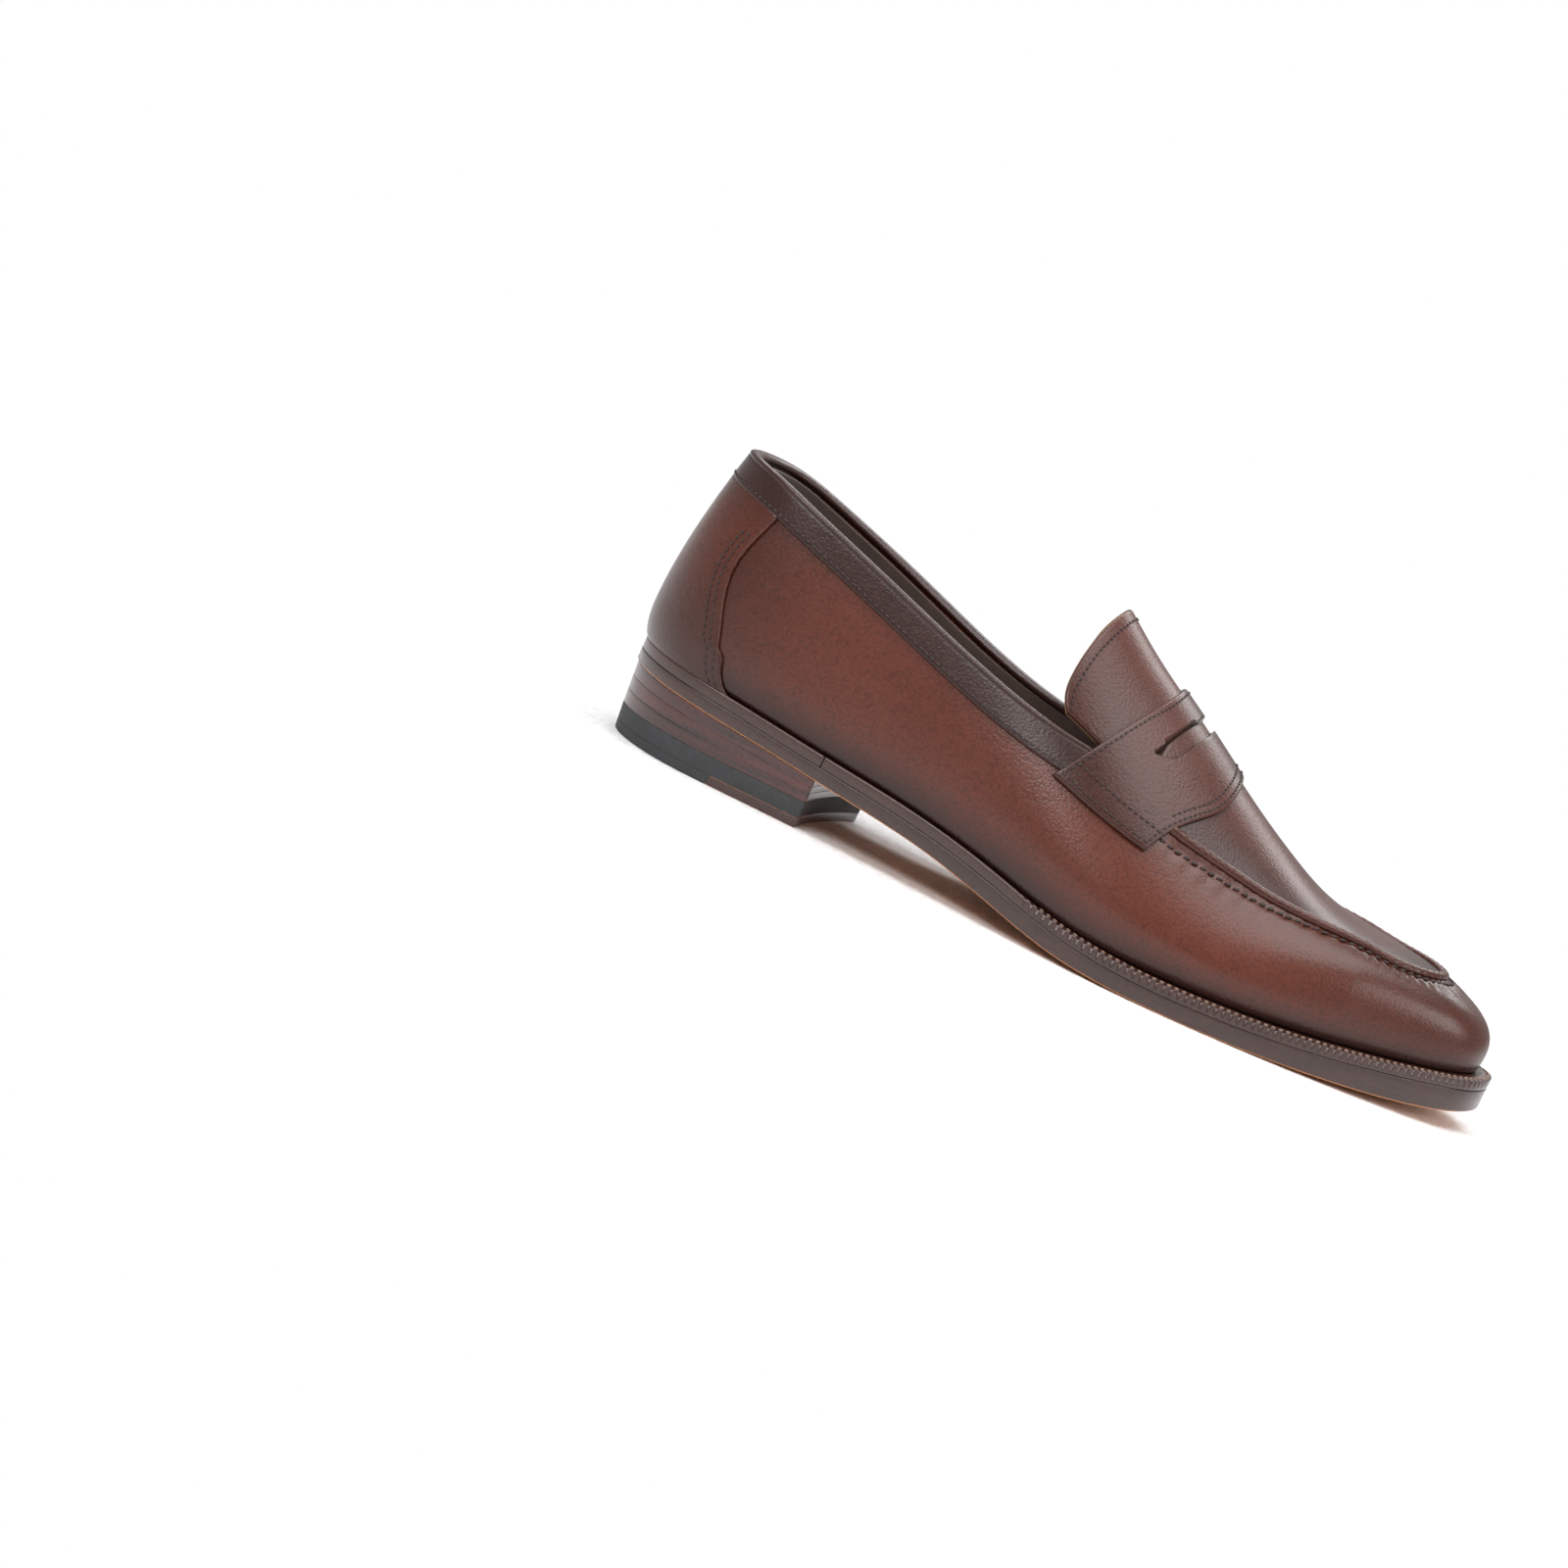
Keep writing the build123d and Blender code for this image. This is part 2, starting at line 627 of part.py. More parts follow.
def pins(places, radius, bottom, top):
    solids = []
    for x, y in places:
        pin = Solid.make_cylinder(radius, top - bottom, Plane((x, y, bottom)))
        solids.append(pin)
    return solids


def seat_nail_positions():
    return [(-125, 8), (-118, -8), (-118, 24), (-100, -12), (-100, 28), (-86, -12), (-84, 28)]


SEAT_NAIL_BOTTOM = 9.5
TOP_NAIL_TOP = 8.4


def heel_parts():
    """Lifts, rubber lift, top piece and their nails."""
    block = heel_block()
    lift_floor = TOP_PIECE + RUBBER_LIFT
    nails = pins(nail_positions(), 1.0, 0.0, TOP_NAIL_TOP)
    seat_nails = []
    for x, y in seat_nail_positions():
        top = float(sole_top(x)) - 0.6
        seat_nails += pins([(x, y)], 1.1, SEAT_NAIL_BOTTOM, top)

    def level_part(bottom, top):
        layer_box = Box(140, 140, top - bottom, align=(Align.MAX, Align.CENTER, Align.MIN))
        return block & (Location((-40, 0, bottom)) * layer_box)

    def lift_top(share):
        return lambda x: lift_floor + (sole_bottom_z(x) - FIT - lift_floor) * share

    parts = {}
    for k in range(3):
        top = lift_top((k + 1) / 3) if k < 2 else lambda x: sole_bottom_z(x) + 1
        lift = block & slab(lambda x, low=lift_top(k / 3): low(x) + FIT / 2, top, x_to=-45.0)
        parts[f"heel_lift_{k + 1}"] = one(lift)
    parts["rubber_lift"] = one(level_part(TOP_PIECE + FIT, lift_floor))
    tip = Location((-118, SPINE_Y, -5), (0, 0, 12.0)) * Box(
        120, 140, 60, align=(Align.MAX, Align.CENTER, Align.MIN))
    tip_fit = Location((-118 - FIT, SPINE_Y, -5), (0, 0, 12.0)) * Box(
        120, 140, 60, align=(Align.MAX, Align.CENTER, Align.MIN))
    top_piece = level_part(0.0, TOP_PIECE)
    parts["top_piece_leather"] = one(top_piece - tip)
    parts["top_piece_rubber"] = one(top_piece & tip_fit)
    parts["heel_nails"] = Compound(children=nails)
    parts["heel_seat_nails"] = Compound(children=seat_nails)
    return parts


# ---- sub-parts: thread ---------------------------------------------------------------------------
THREAD = 0.5


def thread_rows(stations, rise_at, depth):
    """Row of stitching as one thin ribbon that lies on the leather."""
    rise = rise_at(stations)
    rises = np.stack([rise - 0.012, rise], 1)
    s = np.broadcast_to(stations[:, None], rises.shape)
    return grid_solid(s, rises, depth - THREAD, depth)


def moc_seam_thread():
    return thread_rows(toe_stations(0.31), lambda s: apron_rise(s) - 0.06, -0.4)


def band_thread():
    def rise_at(s):
        return topline_rise(s, BAND_WIDTH - 1.6)

    return thread_rows(wall_stations(0.225), rise_at, -LEATHER - 0.15)


def tongue_thread():
    def rear(rise):
        return tongue_rear_x(rise) + 2.8

    def front(rise):
        return tongue_rear_x(rise) + 3.6

    return saddle_piece(rear, front, lambda w: 1.5 + 0.0 * w, -0.05 - THREAD, -0.05, across=2)


def strap_thread():
    def rear(rise):
        return strap_rear_x(rise) + 1.6

    def front(rise):
        return strap_rear_x(rise) + 2.4

    depth = -LEATHER - 0.4
    return saddle_piece(rear, front, lambda w: 1.27 + 0.0 * w, depth - THREAD, depth, across=2)


def welt_thread():
    ring = layer(1.9, lambda x: feather_z(x) - FIT, lambda x: feather_z(x) - FIT + THREAD)
    ring = one(ring - prism(2.7))
    return one(ring - slab(lambda x: 0.0 * x, lambda x: 60 + 0.0 * x, -156, 2))


def build():
    parts = {
        "side_panels": side_panels(),
        "apron": apron(),
        "apron_lining": apron_lining(),
        "saddle_strap": saddle_strap(),
        "tongue": tongue(),
        "tongue_lining": tongue_lining(),
        "topline_band": topline_band(),
        "topline_bead": topline_bead(),
        "heel_counter_cover": heel_counter_cover(),
        "heel_stiffener": heel_stiffener(),
        "toe_puff": toe_puff(),
        "quarter_lining": quarter_lining(),
        "vamp_lining": vamp_lining(),
        "insole": insole(),
        "insole_rib": insole_rib(),
        "heel_sock": heel_sock(),
        "shank": shank(),
        "cork_filler": cork_filler(),
        "outsole": outsole(),
        "welt": welt(),
        "heel_rand": heel_rand(),
        "moc_seam_thread": moc_seam_thread(),
        "band_thread": band_thread(),
        "strap_thread": strap_thread(),
        "tongue_thread": tongue_thread(),
        "welt_thread": welt_thread(),
    }
    parts.update(heel_parts())
    return parts


os.makedirs("parts", exist_ok=True)
for name, part in build().items():
    print(name, round(part.volume), part.is_valid)
    export_step(part, f"parts/{name}.step")
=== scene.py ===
# %% [markdown]
# A penny loafer in calf leather, built around a fixed model that already holds every size.
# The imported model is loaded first. Each visible piece below is then drawn on the same shape,
# the last, so leather, lining and sole lie where the plain model has them.

# %% Load the frame
import math

import bpy
import numpy as np
from mathutils import Matrix, Vector


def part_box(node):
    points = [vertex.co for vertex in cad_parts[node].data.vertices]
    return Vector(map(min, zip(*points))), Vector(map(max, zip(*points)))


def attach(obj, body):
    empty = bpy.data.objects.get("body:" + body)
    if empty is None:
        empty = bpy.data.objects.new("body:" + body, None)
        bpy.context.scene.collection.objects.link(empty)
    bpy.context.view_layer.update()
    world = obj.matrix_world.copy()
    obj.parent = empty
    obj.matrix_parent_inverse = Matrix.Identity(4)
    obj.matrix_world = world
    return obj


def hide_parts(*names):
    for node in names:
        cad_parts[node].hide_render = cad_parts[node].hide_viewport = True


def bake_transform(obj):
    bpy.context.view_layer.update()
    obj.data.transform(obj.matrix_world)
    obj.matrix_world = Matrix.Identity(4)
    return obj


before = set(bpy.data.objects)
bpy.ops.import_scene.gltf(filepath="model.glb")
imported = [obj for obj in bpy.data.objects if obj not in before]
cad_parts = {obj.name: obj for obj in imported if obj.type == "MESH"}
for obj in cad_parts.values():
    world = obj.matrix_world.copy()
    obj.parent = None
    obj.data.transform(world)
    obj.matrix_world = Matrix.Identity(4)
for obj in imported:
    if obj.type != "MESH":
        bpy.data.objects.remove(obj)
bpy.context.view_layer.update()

MM = 0.001
print("nodes in the frame:", len(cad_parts))

# %% [markdown]
# A shoemaker starts from a last, the solid foot shape that the leather is pulled over. It could
# be sculpted, but a formula is easier to cut into exact pattern pieces. A station runs round
# the shoe from the back of the heel, and a rise runs from the feather edge, where the upper
# meets the welt, to the ridge on top. The few values below are the last's own measures.

# %% The measures of the last, in millimetres
SPINE_Y, HEEL_X, TOE_X = 5.0, -114.0, 96.0
LEATHER, LINING, MARGIN = 1.4, 1.0, 7.0
WELT, BAND, HEEL_PITCH = 3.8, 8.6, 2.6
TOP_PIECE, RUBBER_LIFT = 3.2, 5.6
INSOLE_LOW, INSOLE_HIGH = 3.95, 6.95
APRON_TOE_X = 121.7
OUTLINE = [(-150, 8.5), (-142.5, -14.5), (-126, -26.8), (-100, -30.2), (-70, -33), (-40, -38),
           (-10, -46), (27, -52.4), (67, -48), (100, -38), (126, -26.5), (144, -13.5),
           (150, 4.6), (144.5, 19.8), (128, 33), (98, 45.6), (62, 52.4), (34, 49.5),
           (6, 38.5), (-22, 28.8), (-42, 29), (-66, 37), (-90, 44), (-116, 45.3), (-137, 37.5)]
MEASURES = {
    "inset": [(0, 2.2), (0.125, 2.4), (0.2, 2.6), (0.27, 3.6), (0.32, 6), (0.375, 6.6), (0.44, 6.2), (0.5, 6),
              (0.56, 6.2), (0.625, 6.6), (0.68, 6), (0.73, 3.6), (0.8, 2.2), (0.875, 2.2), (1, 2.2)],
    "bulge": [(0, 3.4), (0.125, 3), (0.2, 3.2), (0.27, 3), (0.32, 2.4), (0.375, 1.8), (0.44, 1.4), (0.5, 1.3),
              (0.56, 1.4), (0.625, 2), (0.68, 3), (0.73, 4.5), (0.8, 5.5), (0.875, 3.5), (1, 3.4)],
    "feather": [(-152, 31), (-114, 28.2), (-83, 25), (-52.6, 22.2), (-21.7, 17.6), (-3, 13.6), (12, 11),
                (30, 9.6), (50, 9.4), (75, 10.2), (101.6, 12.4), (132.5, 16.4), (150, 19)],
    "sole": [(-152, 22.8), (-114, 19.9), (-83, 16.7), (-60, 14.4), (-40, 12), (-21.7, 8.4), (-6, 4.8), (9, 2),
             (24.5, 0.65), (42, 0.1), (70, 0.2), (101, 1.4), (132, 4.5), (152, 8.3)],
    "crown": [(-152, 150), (-114, 150), (-70, 140), (-30, 115), (0, 93), (20, 81), (39, 69.2), (52, 61.4),
              (64.6, 54.6), (77, 48.8), (90, 45.2), (102, 43.8), (122, 42.5), (150, 39)],
    "tuck": [(-152, 11), (-60, 13), (0, 13), (60, 9), (110, 7), (152, 6)],
    "wall": [(-152, 0.35), (-60, 0.4), (0, 0.3), (40, 0.25), (65, 0.4), (90, 0.8), (110, 0.85), (152, 0.7)],
    "top": [(-152, 0.47), (-60, 0.47), (0, 0.42), (40, 0.4), (65, 0.48), (90, 0.66), (110, 0.75),
            (152, 0.75)],
    "topline": [(-152, 97.5), (-142, 96), (-129, 93.8), (-114, 89.5), (-83, 79.8), (-52, 70.2), (-37, 66.2),
                (-21.7, 63), (-7, 61), (10, 59)],
    "apron": [(-20, 42), (-7, 40.6), (12, 39.4), (26.7, 38.4), (38.8, 35.8), (50.8, 33), (62.9, 30.8),
              (75, 28.4), (87.6, 25.6), (96, 23.6), (104, 22)],
    "strap_rear": [(1.2, -17), (1.373, -8.5), (1.507, -2.7), (1.667, 3.6), (1.8, 8), (2, 10.5)],
    "strap_front": [(1.3, 20.2), (1.46, 26.6), (1.64, 36), (1.767, 39), (1.9, 39.4), (2, 38.6)],
    "tongue_rear": [(1.4, -17.5), (1.43, -20.6), (1.47, -22.1), (1.52, -22.1), (1.667, -20), (1.8, -17.2),
                    (2, -14.4)],
    "counter": [(0, 0.1245), (0.25, 0.118), (0.76, 0.108), (1.033, 0.097), (1.1, 0.0887), (1.167, 0.0831),
                (1.22, 0.0844), (1.29, 0.0925), (1.4, 0.105)],
}

# %% [markdown]
# Every measure is a short list of values, and a cubic spline runs smoothly through them. The
# outline of the sole is the same kind of curve, closed on itself.


# %% Smooth curves
def spline(pairs, closed=False):
    at = np.array([p[0] for p in pairs], float)
    value = np.array([p[1:] for p in pairs], float)
    step = np.diff(at)
    slope = np.diff(value, axis=0) / step[:, None]
    n = len(at)
    matrix, right = np.eye(n), np.zeros_like(value)
    for i in range(1, n - 1):
        matrix[i, i - 1:i + 2] = step[i - 1], 2 * (step[i - 1] + step[i]), step[i]
        right[i] = 6 * (slope[i] - slope[i - 1])
    if closed:
        matrix[0, :2] = 2 * (step[0] + step[-1]), step[0]
        matrix[0, n - 2] = step[-1]
        right[0] = 6 * (slope[0] - slope[-1])
        matrix[-1, 0] = -1
    bend = np.linalg.solve(matrix, right)

    def curve(x):
        x = np.asarray(x, float)
        i = np.clip(np.searchsorted(at, x) - 1, 0, n - 2)
        h = step[i][..., None]
        b = ((x - at[i]) / step[i])[..., None]
        a = 1 - b
        out = a * value[i] + b * value[i + 1] + ((a**3 - a) * bend[i] + (b**3 - b) * bend[i + 1]) * h**2 / 6
        return out[..., 0] if value.shape[1] == 1 else out

    return curve


curve = {name: spline(pairs) for name, pairs in MEASURES.items()}


def spoke(station):
    """Centre and outward direction of a station in plan."""
    s = np.mod(np.asarray(station, float), 1.0)
    side = np.where(s < 0.5, (s - 0.125) / 0.25, (0.875 - s) / 0.25)
    x = HEEL_X + np.clip(side, 0, 1) * (TOE_X - HEEL_X)
    angle = np.where(s < 0.125, np.pi + s / 0.125 * np.pi / 2, 1.5 * np.pi)
    angle = np.where(s > 0.375, 1.5 * np.pi + (s - 0.375) / 0.25 * np.pi, angle)
    angle = np.where(s > 0.625, 2.5 * np.pi, angle)
    angle = np.where(s > 0.875, 2.5 * np.pi + (s - 0.875) / 0.125 * np.pi / 2, angle)
    return x, np.cos(angle), np.sin(angle)


def outline_table(count=2881):
    loop = np.array(OUTLINE + OUTLINE[:1], float)
    run = np.cumsum(np.r_[0, np.sqrt(np.linalg.norm(np.diff(loop, axis=0), axis=1))])
    rim = spline([(k / run[-1], *p) for k, p in zip(run, loop)], closed=True)(np.linspace(0, 1, 3001))
    stations = np.linspace(0, 1, count)
    radii = []
    for x, dx, dy in zip(*spoke(stations)):
        ahead = (rim[:, 0] - x) * dx + (rim[:, 1] - SPINE_Y) * dy
        aside = (rim[:, 1] - SPINE_Y) * dx - (rim[:, 0] - x) * dy
        cross = np.nonzero((aside[:-1] * aside[1:] <= 0) & (ahead[:-1] > 0))[0]
        i = cross[np.argmin(ahead[cross])]
        share = aside[i] / (aside[i] - aside[i + 1] + 1e-12)
        radii.append(ahead[i] + share * (ahead[i + 1] - ahead[i]))
    return stations, np.array(radii)


STATIONS, RADII = outline_table()


def edge_radius(station):
    return np.interp(np.mod(station, 1.0), STATIONS, RADII)


print("outsole length, mm:", round(float(RADII[0] + TOE_X - HEEL_X + edge_radius(0.5)), 1))

# %% [markdown]
# The skin of the last is one formula of station and rise. Below the widest line the wall tucks
# in towards the welt, above it a cubic curve leads up to the ridge. The topline and the moc seam
# are lines on this skin, found by halving until the wanted height or width is met.


# %% The skin of the last
def skin(station, rise):
    """Rise 0 is the feather edge, 1 the widest line and 2 the ridge."""
    station, rise = np.broadcast_arrays(np.asarray(station, float), np.asarray(rise, float))
    s = np.mod(station, 1.0)
    x0, dx, dy = spoke(s)
    low = edge_radius(s) - curve["inset"](s)
    wide = low + curve["bulge"](s)
    tuck = curve["tuck"](x0 + wide * dx)
    base = curve["feather"](x0 + low * dx)
    q = np.clip(rise, 0, 1) * np.pi / 2
    u = np.clip(rise - 1, 0, 1)
    v = 1 - u
    high_r = wide * (v**3 + 3 * v * v * u + 3 * v * u * u * curve["top"](x0 + wide * dx))
    level = 3 * v * v * u * curve["wall"](x0 + wide * dx) + 3 * v * u * u + u**3
    high_z = base + tuck + (curve["crown"](x0 + high_r * dx) - base - tuck) * level
    in_r = low + MARGIN * np.clip(rise, -1, 0)
    r = np.where(rise < 0, in_r, np.where(rise < 1, low + (wide - low) * np.sin(q), high_r))
    z = np.where(rise < 0, curve["feather"](x0 + in_r * dx),
                 np.where(rise < 1, base + tuck * (1 - np.cos(q)), high_z))
    return np.stack([x0 + r * dx, SPINE_Y + r * dy, z], -1)


def inward(station, rise):
    low, high = np.maximum(rise - 0.01, -1), np.minimum(rise + 0.01, 2)
    along = skin(station + 1e-3, rise) - skin(station - 1e-3, rise)
    normal = np.cross(skin(station, high) - skin(station, low), along)
    return normal / np.linalg.norm(normal, axis=-1, keepdims=True)


def solve_rise(station, wanted):
    station = np.asarray(station, float)
    low, high = np.full(station.shape, 1.0), np.full(station.shape, 1.97)
    for _ in range(26):
        middle = (low + high) / 2
        below = wanted(skin(station, middle)) < 0
        low, high = np.where(below, middle, low), np.where(below, high, middle)
    return (low + high) / 2


def topline_rise(station, lower=0.0):
    return solve_rise(station, lambda p: p[..., 2] - curve["topline"](p[..., 0]) + lower)


def apron_rise(station, grow=0.0):
    s = np.mod(np.asarray(station, float), 1.0)
    side, tip = float(curve["apron"](TOE_X)) + grow, APRON_TOE_X - TOE_X + grow

    def outside(p):
        x, y = p[..., 0] - TOE_X, p[..., 1] - SPINE_Y
        round_end = np.hypot(np.maximum(x, 0) / tip, y / side) - 1
        along = np.abs(y) / (curve["apron"](np.minimum(p[..., 0], TOE_X)) + grow) - 1
        return -np.where(x > 0, round_end, along)

    return solve_rise(np.minimum(s, 1 - s), outside)


def smooth(x, start, end):
    share = np.clip((x - start) / (end - start), 0, 1)
    return share * share * (3 - 2 * share)


def rim_rise(station):
    x = skin(station, np.full(np.shape(station), 1.4))[..., 0]
    share = smooth(x, -16, 18)
    return topline_rise(station) * (1 - share) + apron_rise(station) * share


def station_of(x):
    return 0.125 + 0.25 * (np.asarray(x, float) - HEEL_X) / (TOE_X - HEEL_X)


print("ridge of the upper above the ball, mm:", np.round(skin(station_of(40), 2.0), 1))

# %% [markdown]
# A piece of leather is a sheet with two faces and a skived, rounded edge. A Solidify modifier
# would give square edges, so each piece is a grid that is walked on the outside of the last
# and again on its inside, and near its border the two faces curve together.


# %% Sheets of leather on the last
def mesh_object(name, points, faces, material, tone=None, smooth_faces=True):
    mesh = bpy.data.meshes.new(name)
    mesh.from_pydata((np.asarray(points) * MM).tolist(), [], [tuple(map(int, f)) for f in faces])
    mesh.validate()
    if smooth_faces:
        mesh.polygons.foreach_set("use_smooth", [True] * len(mesh.polygons))
    if tone is not None:
        layer = mesh.attributes.new("tone", "FLOAT", "POINT")
        layer.data.foreach_set("value", np.asarray(tone, np.float32).ravel())
    piece = bpy.data.objects.new(name, mesh)
    bpy.context.scene.collection.objects.link(piece)
    mesh.materials.append(material)
    return piece


def border_steps(length, step, radius):
    """Distances across a sheet, close together near both borders."""
    near = np.array([0, 0.08, 0.25, 0.5, 0.75, 1.0]) * radius
    count = max(2, int((length - 2 * radius) / step))
    return np.r_[near, np.linspace(radius, length - radius, count + 1)[1:-1], (length - near)[::-1]]


def edge_fall(distance, radius):
    """How far a rounded edge has fallen, from 1 at the border to 0 inside."""
    d = np.clip(distance / radius, 0, 1)
    return 1 - np.sqrt(np.clip(1 - (1 - d)**2, 0, 1))


def sheet_points(s, t, near, far, falls, relief=None):
    """Outer and inner points of a sheet. falls is 1 on a rounded border and 0 inside."""
    half = (far - near) / 2
    normal = inward(s, t)
    base = skin(s, t)
    lift = 0 if relief is None else relief(s, t, base)
    outer = base + normal * (near + half * falls + lift * (1 - falls))[..., None]
    inner = base + normal * (far - half * falls + lift * (1 - falls))[..., None]
    return outer, inner


def sheet_object(name, s, t, near, far, falls, material, relief=None, tone=None, wrap=False):
    near = near + 0 * s
    far = far + 0 * s
    outer, inner = sheet_points(s, t, near, far, falls, relief)
    rows, columns = s.shape
    points = np.concatenate([outer.reshape(-1, 3), inner.reshape(-1, 3)])
    grid = np.arange(rows * columns).reshape(rows, columns)
    if wrap:
        grid = np.concatenate([grid, grid[:1]])
    faces = []
    shift = rows * columns
    for a, b in zip(grid[:-1], grid[1:]):
        faces += list(zip(a[:-1], a[1:], b[1:], b[:-1]))
        faces += list(zip(b[:-1] + shift, b[1:] + shift, a[1:] + shift, a[:-1] + shift))
    borders = [(grid[:, 0], 1), (grid[:, -1], -1)]
    if not wrap:
        borders += [(grid[0], -1), (grid[-1], 1)]
    for border, turn in borders:
        for a, b in zip(border[:-1], border[1:]):
            quad = (a, b, b + shift, a + shift)
            faces.append(quad if turn > 0 else quad[::-1])
    value = tone(s, t, skin(s, t)) if tone else np.full(s.shape, 0.5)
    tones = np.r_[value.ravel(), value.ravel()]
    piece = mesh_object(name, points, faces, material, tones)
    fix_normals(piece)
    return piece


def fix_normals(piece):
    import bmesh
    work = bmesh.new()
    work.from_mesh(piece.data)
    bmesh.ops.remove_doubles(work, verts=work.verts, dist=2e-6)
    bmesh.ops.recalc_face_normals(work, faces=work.faces)
    work.to_mesh(piece.data)
    work.free()


def wall_sheet(name, stations, low, high, near, far, material, step=2.2, radius=0.7,
               relief=None, tone=None, wrap=False, ends=True):
    """Sheet on the wall between two stations, with its lower and upper rise."""
    bottom, top = low(stations) + 0 * stations, high(stations) + 0 * stations
    share = np.linspace(0, 1, 41)
    fine = skin(stations[:, None], bottom[:, None] + (top - bottom)[:, None] * share)
    length = np.linalg.norm(np.diff(fine, axis=1), axis=2)
    run = np.concatenate([np.zeros((len(stations), 1)), np.cumsum(length, axis=1)], axis=1)
    across = border_steps(float(run[:, -1].mean()), step, radius) / float(run[:, -1].mean())
    t = np.empty((len(stations), len(across)))
    for i in range(len(stations)):
        t[i] = bottom[i] + (top - bottom)[i] * np.interp(across * run[i, -1], run[i], share)
    s = np.broadcast_to(stations[:, None], t.shape)
    rim = np.minimum(across, 1 - across)[None, :] * run[:, -1:]
    falls = edge_fall(rim, radius)
    if ends and not wrap:
        middle = skin(stations, (bottom + top) / 2)
        walk = np.r_[0, np.cumsum(np.linalg.norm(np.diff(middle, axis=0), axis=1))]
        end = np.minimum(walk, walk[-1] - walk)
        falls = np.maximum(falls, edge_fall(end, radius)[:, None])
    return sheet_object(name, s, t, near(s) if callable(near) else near, far(s) if callable(far) else far,
                        falls, material, relief, tone, wrap)


def stations_between(start, end, step=0.0035):
    count = int(abs(end - start) / step)
    inside = np.linspace(start, end, count + 1)
    tight = np.array([0.0001, 0.0003, 0.0006, 0.001])
    return np.r_[inside[0], inside[0] + tight, inside[1:-1], inside[-1] - tight[::-1], inside[-1]]


print("steps across a 40 mm sheet:", len(border_steps(40.0, 2.2, 0.7)))

# %% [markdown]
# Finishes come before pieces. Calf has a fine pebble grain with pores, suede a nap, sole leather
# a cloudy tan, and a stacked heel shows its layers. Grain and clouds serve every finish, so each
# of the two is a node group, built once, that gives out only heights and masks.


# %% Node groups that several finishes share
def group_tree(name, inputs, outputs):
    tree = bpy.data.node_groups.new(name, "ShaderNodeTree")
    for label, kind, value in inputs:
        socket = tree.interface.new_socket(label, in_out="INPUT", socket_type=kind)
        if value is not None:
            socket.default_value = value
    for label, kind in outputs:
        tree.interface.new_socket(label, in_out="OUTPUT", socket_type=kind)
    return tree, tree.nodes.new("NodeGroupInput"), tree.nodes.new("NodeGroupOutput")


def math_node(tree, kind, a, b=None, clamp=False):
    node = tree.nodes.new("ShaderNodeMath")
    node.operation, node.use_clamp = kind, clamp
    for socket, value in zip(node.inputs, (a, b)):
        if value is None:
            continue
        if isinstance(value, (int, float)):
            socket.default_value = value
        else:
            tree.links.new(value, socket)
    return node.outputs[0]


def noise_node(tree, vector, scale, detail=3.0, rough=0.5):
    node = tree.nodes.new("ShaderNodeTexNoise")
    node.inputs["Detail"].default_value = detail
    node.inputs["Roughness"].default_value = rough
    tree.links.new(vector, node.inputs["Vector"])
    if isinstance(scale, (int, float)):
        node.inputs["Scale"].default_value = scale
    else:
        tree.links.new(scale, node.inputs["Scale"])
    return node.outputs["Fac"]


def make_grain_group():
    """Pebble grain: cells with fine creases between them, broken up by noise."""
    tree, gin, gout = group_tree("leather_grain", [("Vector", "NodeSocketVector", None),
                                                   ("Cell", "NodeSocketFloat", 1600.0)],
                                 [("Height", "NodeSocketFloat"), ("Crease", "NodeSocketFloat")])
    cells = tree.nodes.new("ShaderNodeTexVoronoi")
    cells.feature = "SMOOTH_F1"
    cells.inputs["Smoothness"].default_value = 0.6
    cells.inputs["Randomness"].default_value = 1.0
    tree.links.new(gin.outputs["Vector"], cells.inputs["Vector"])
    tree.links.new(gin.outputs["Cell"], cells.inputs["Scale"])
    broad_scale = math_node(tree, "MULTIPLY", gin.outputs["Cell"], 0.16)
    broad = noise_node(tree, gin.outputs["Vector"], broad_scale, 4.0, 0.6)
    dome = math_node(tree, "SUBTRACT", 1.0, cells.outputs["Distance"])
    pebbles, swell = math_node(tree, "MULTIPLY", dome, 0.62), math_node(tree, "MULTIPLY", broad, 0.5)
    height = math_node(tree, "ADD", pebbles, swell)
    tree.links.new(height, gout.inputs["Height"])
    steep = math_node(tree, "MULTIPLY", cells.outputs["Distance"], 1.5)
    crease = math_node(tree, "SUBTRACT", steep, 0.45, clamp=True)
    tree.links.new(crease, gout.inputs["Crease"])
    return tree


def make_cloud_group():
    """Slow uneven colour of a hand-finished skin, from 0 to 1."""
    tree, gin, gout = group_tree("hide_clouds", [("Vector", "NodeSocketVector", None),
                                                 ("Scale", "NodeSocketFloat", 40.0)],
                                 [("Value", "NodeSocketFloat")])
    slow = noise_node(tree, gin.outputs["Vector"], gin.outputs["Scale"], 3.0, 0.55)
    fine_scale = math_node(tree, "MULTIPLY", gin.outputs["Scale"], 9.0)
    fine = noise_node(tree, gin.outputs["Vector"], fine_scale, 4.0, 0.6)
    slow_share, fine_share = math_node(tree, "MULTIPLY", slow, 0.7), math_node(tree, "MULTIPLY", fine, 0.3)
    both = math_node(tree, "ADD", slow_share, fine_share)
    spread = math_node(tree, "MULTIPLY", math_node(tree, "SUBTRACT", both, 0.5), 2.6)
    tree.links.new(math_node(tree, "ADD", spread, 0.5, clamp=True), gout.inputs["Value"])
    return tree


GRAIN, CLOUDS = make_grain_group(), make_cloud_group()
print("shared groups:", GRAIN.name, CLOUDS.name)
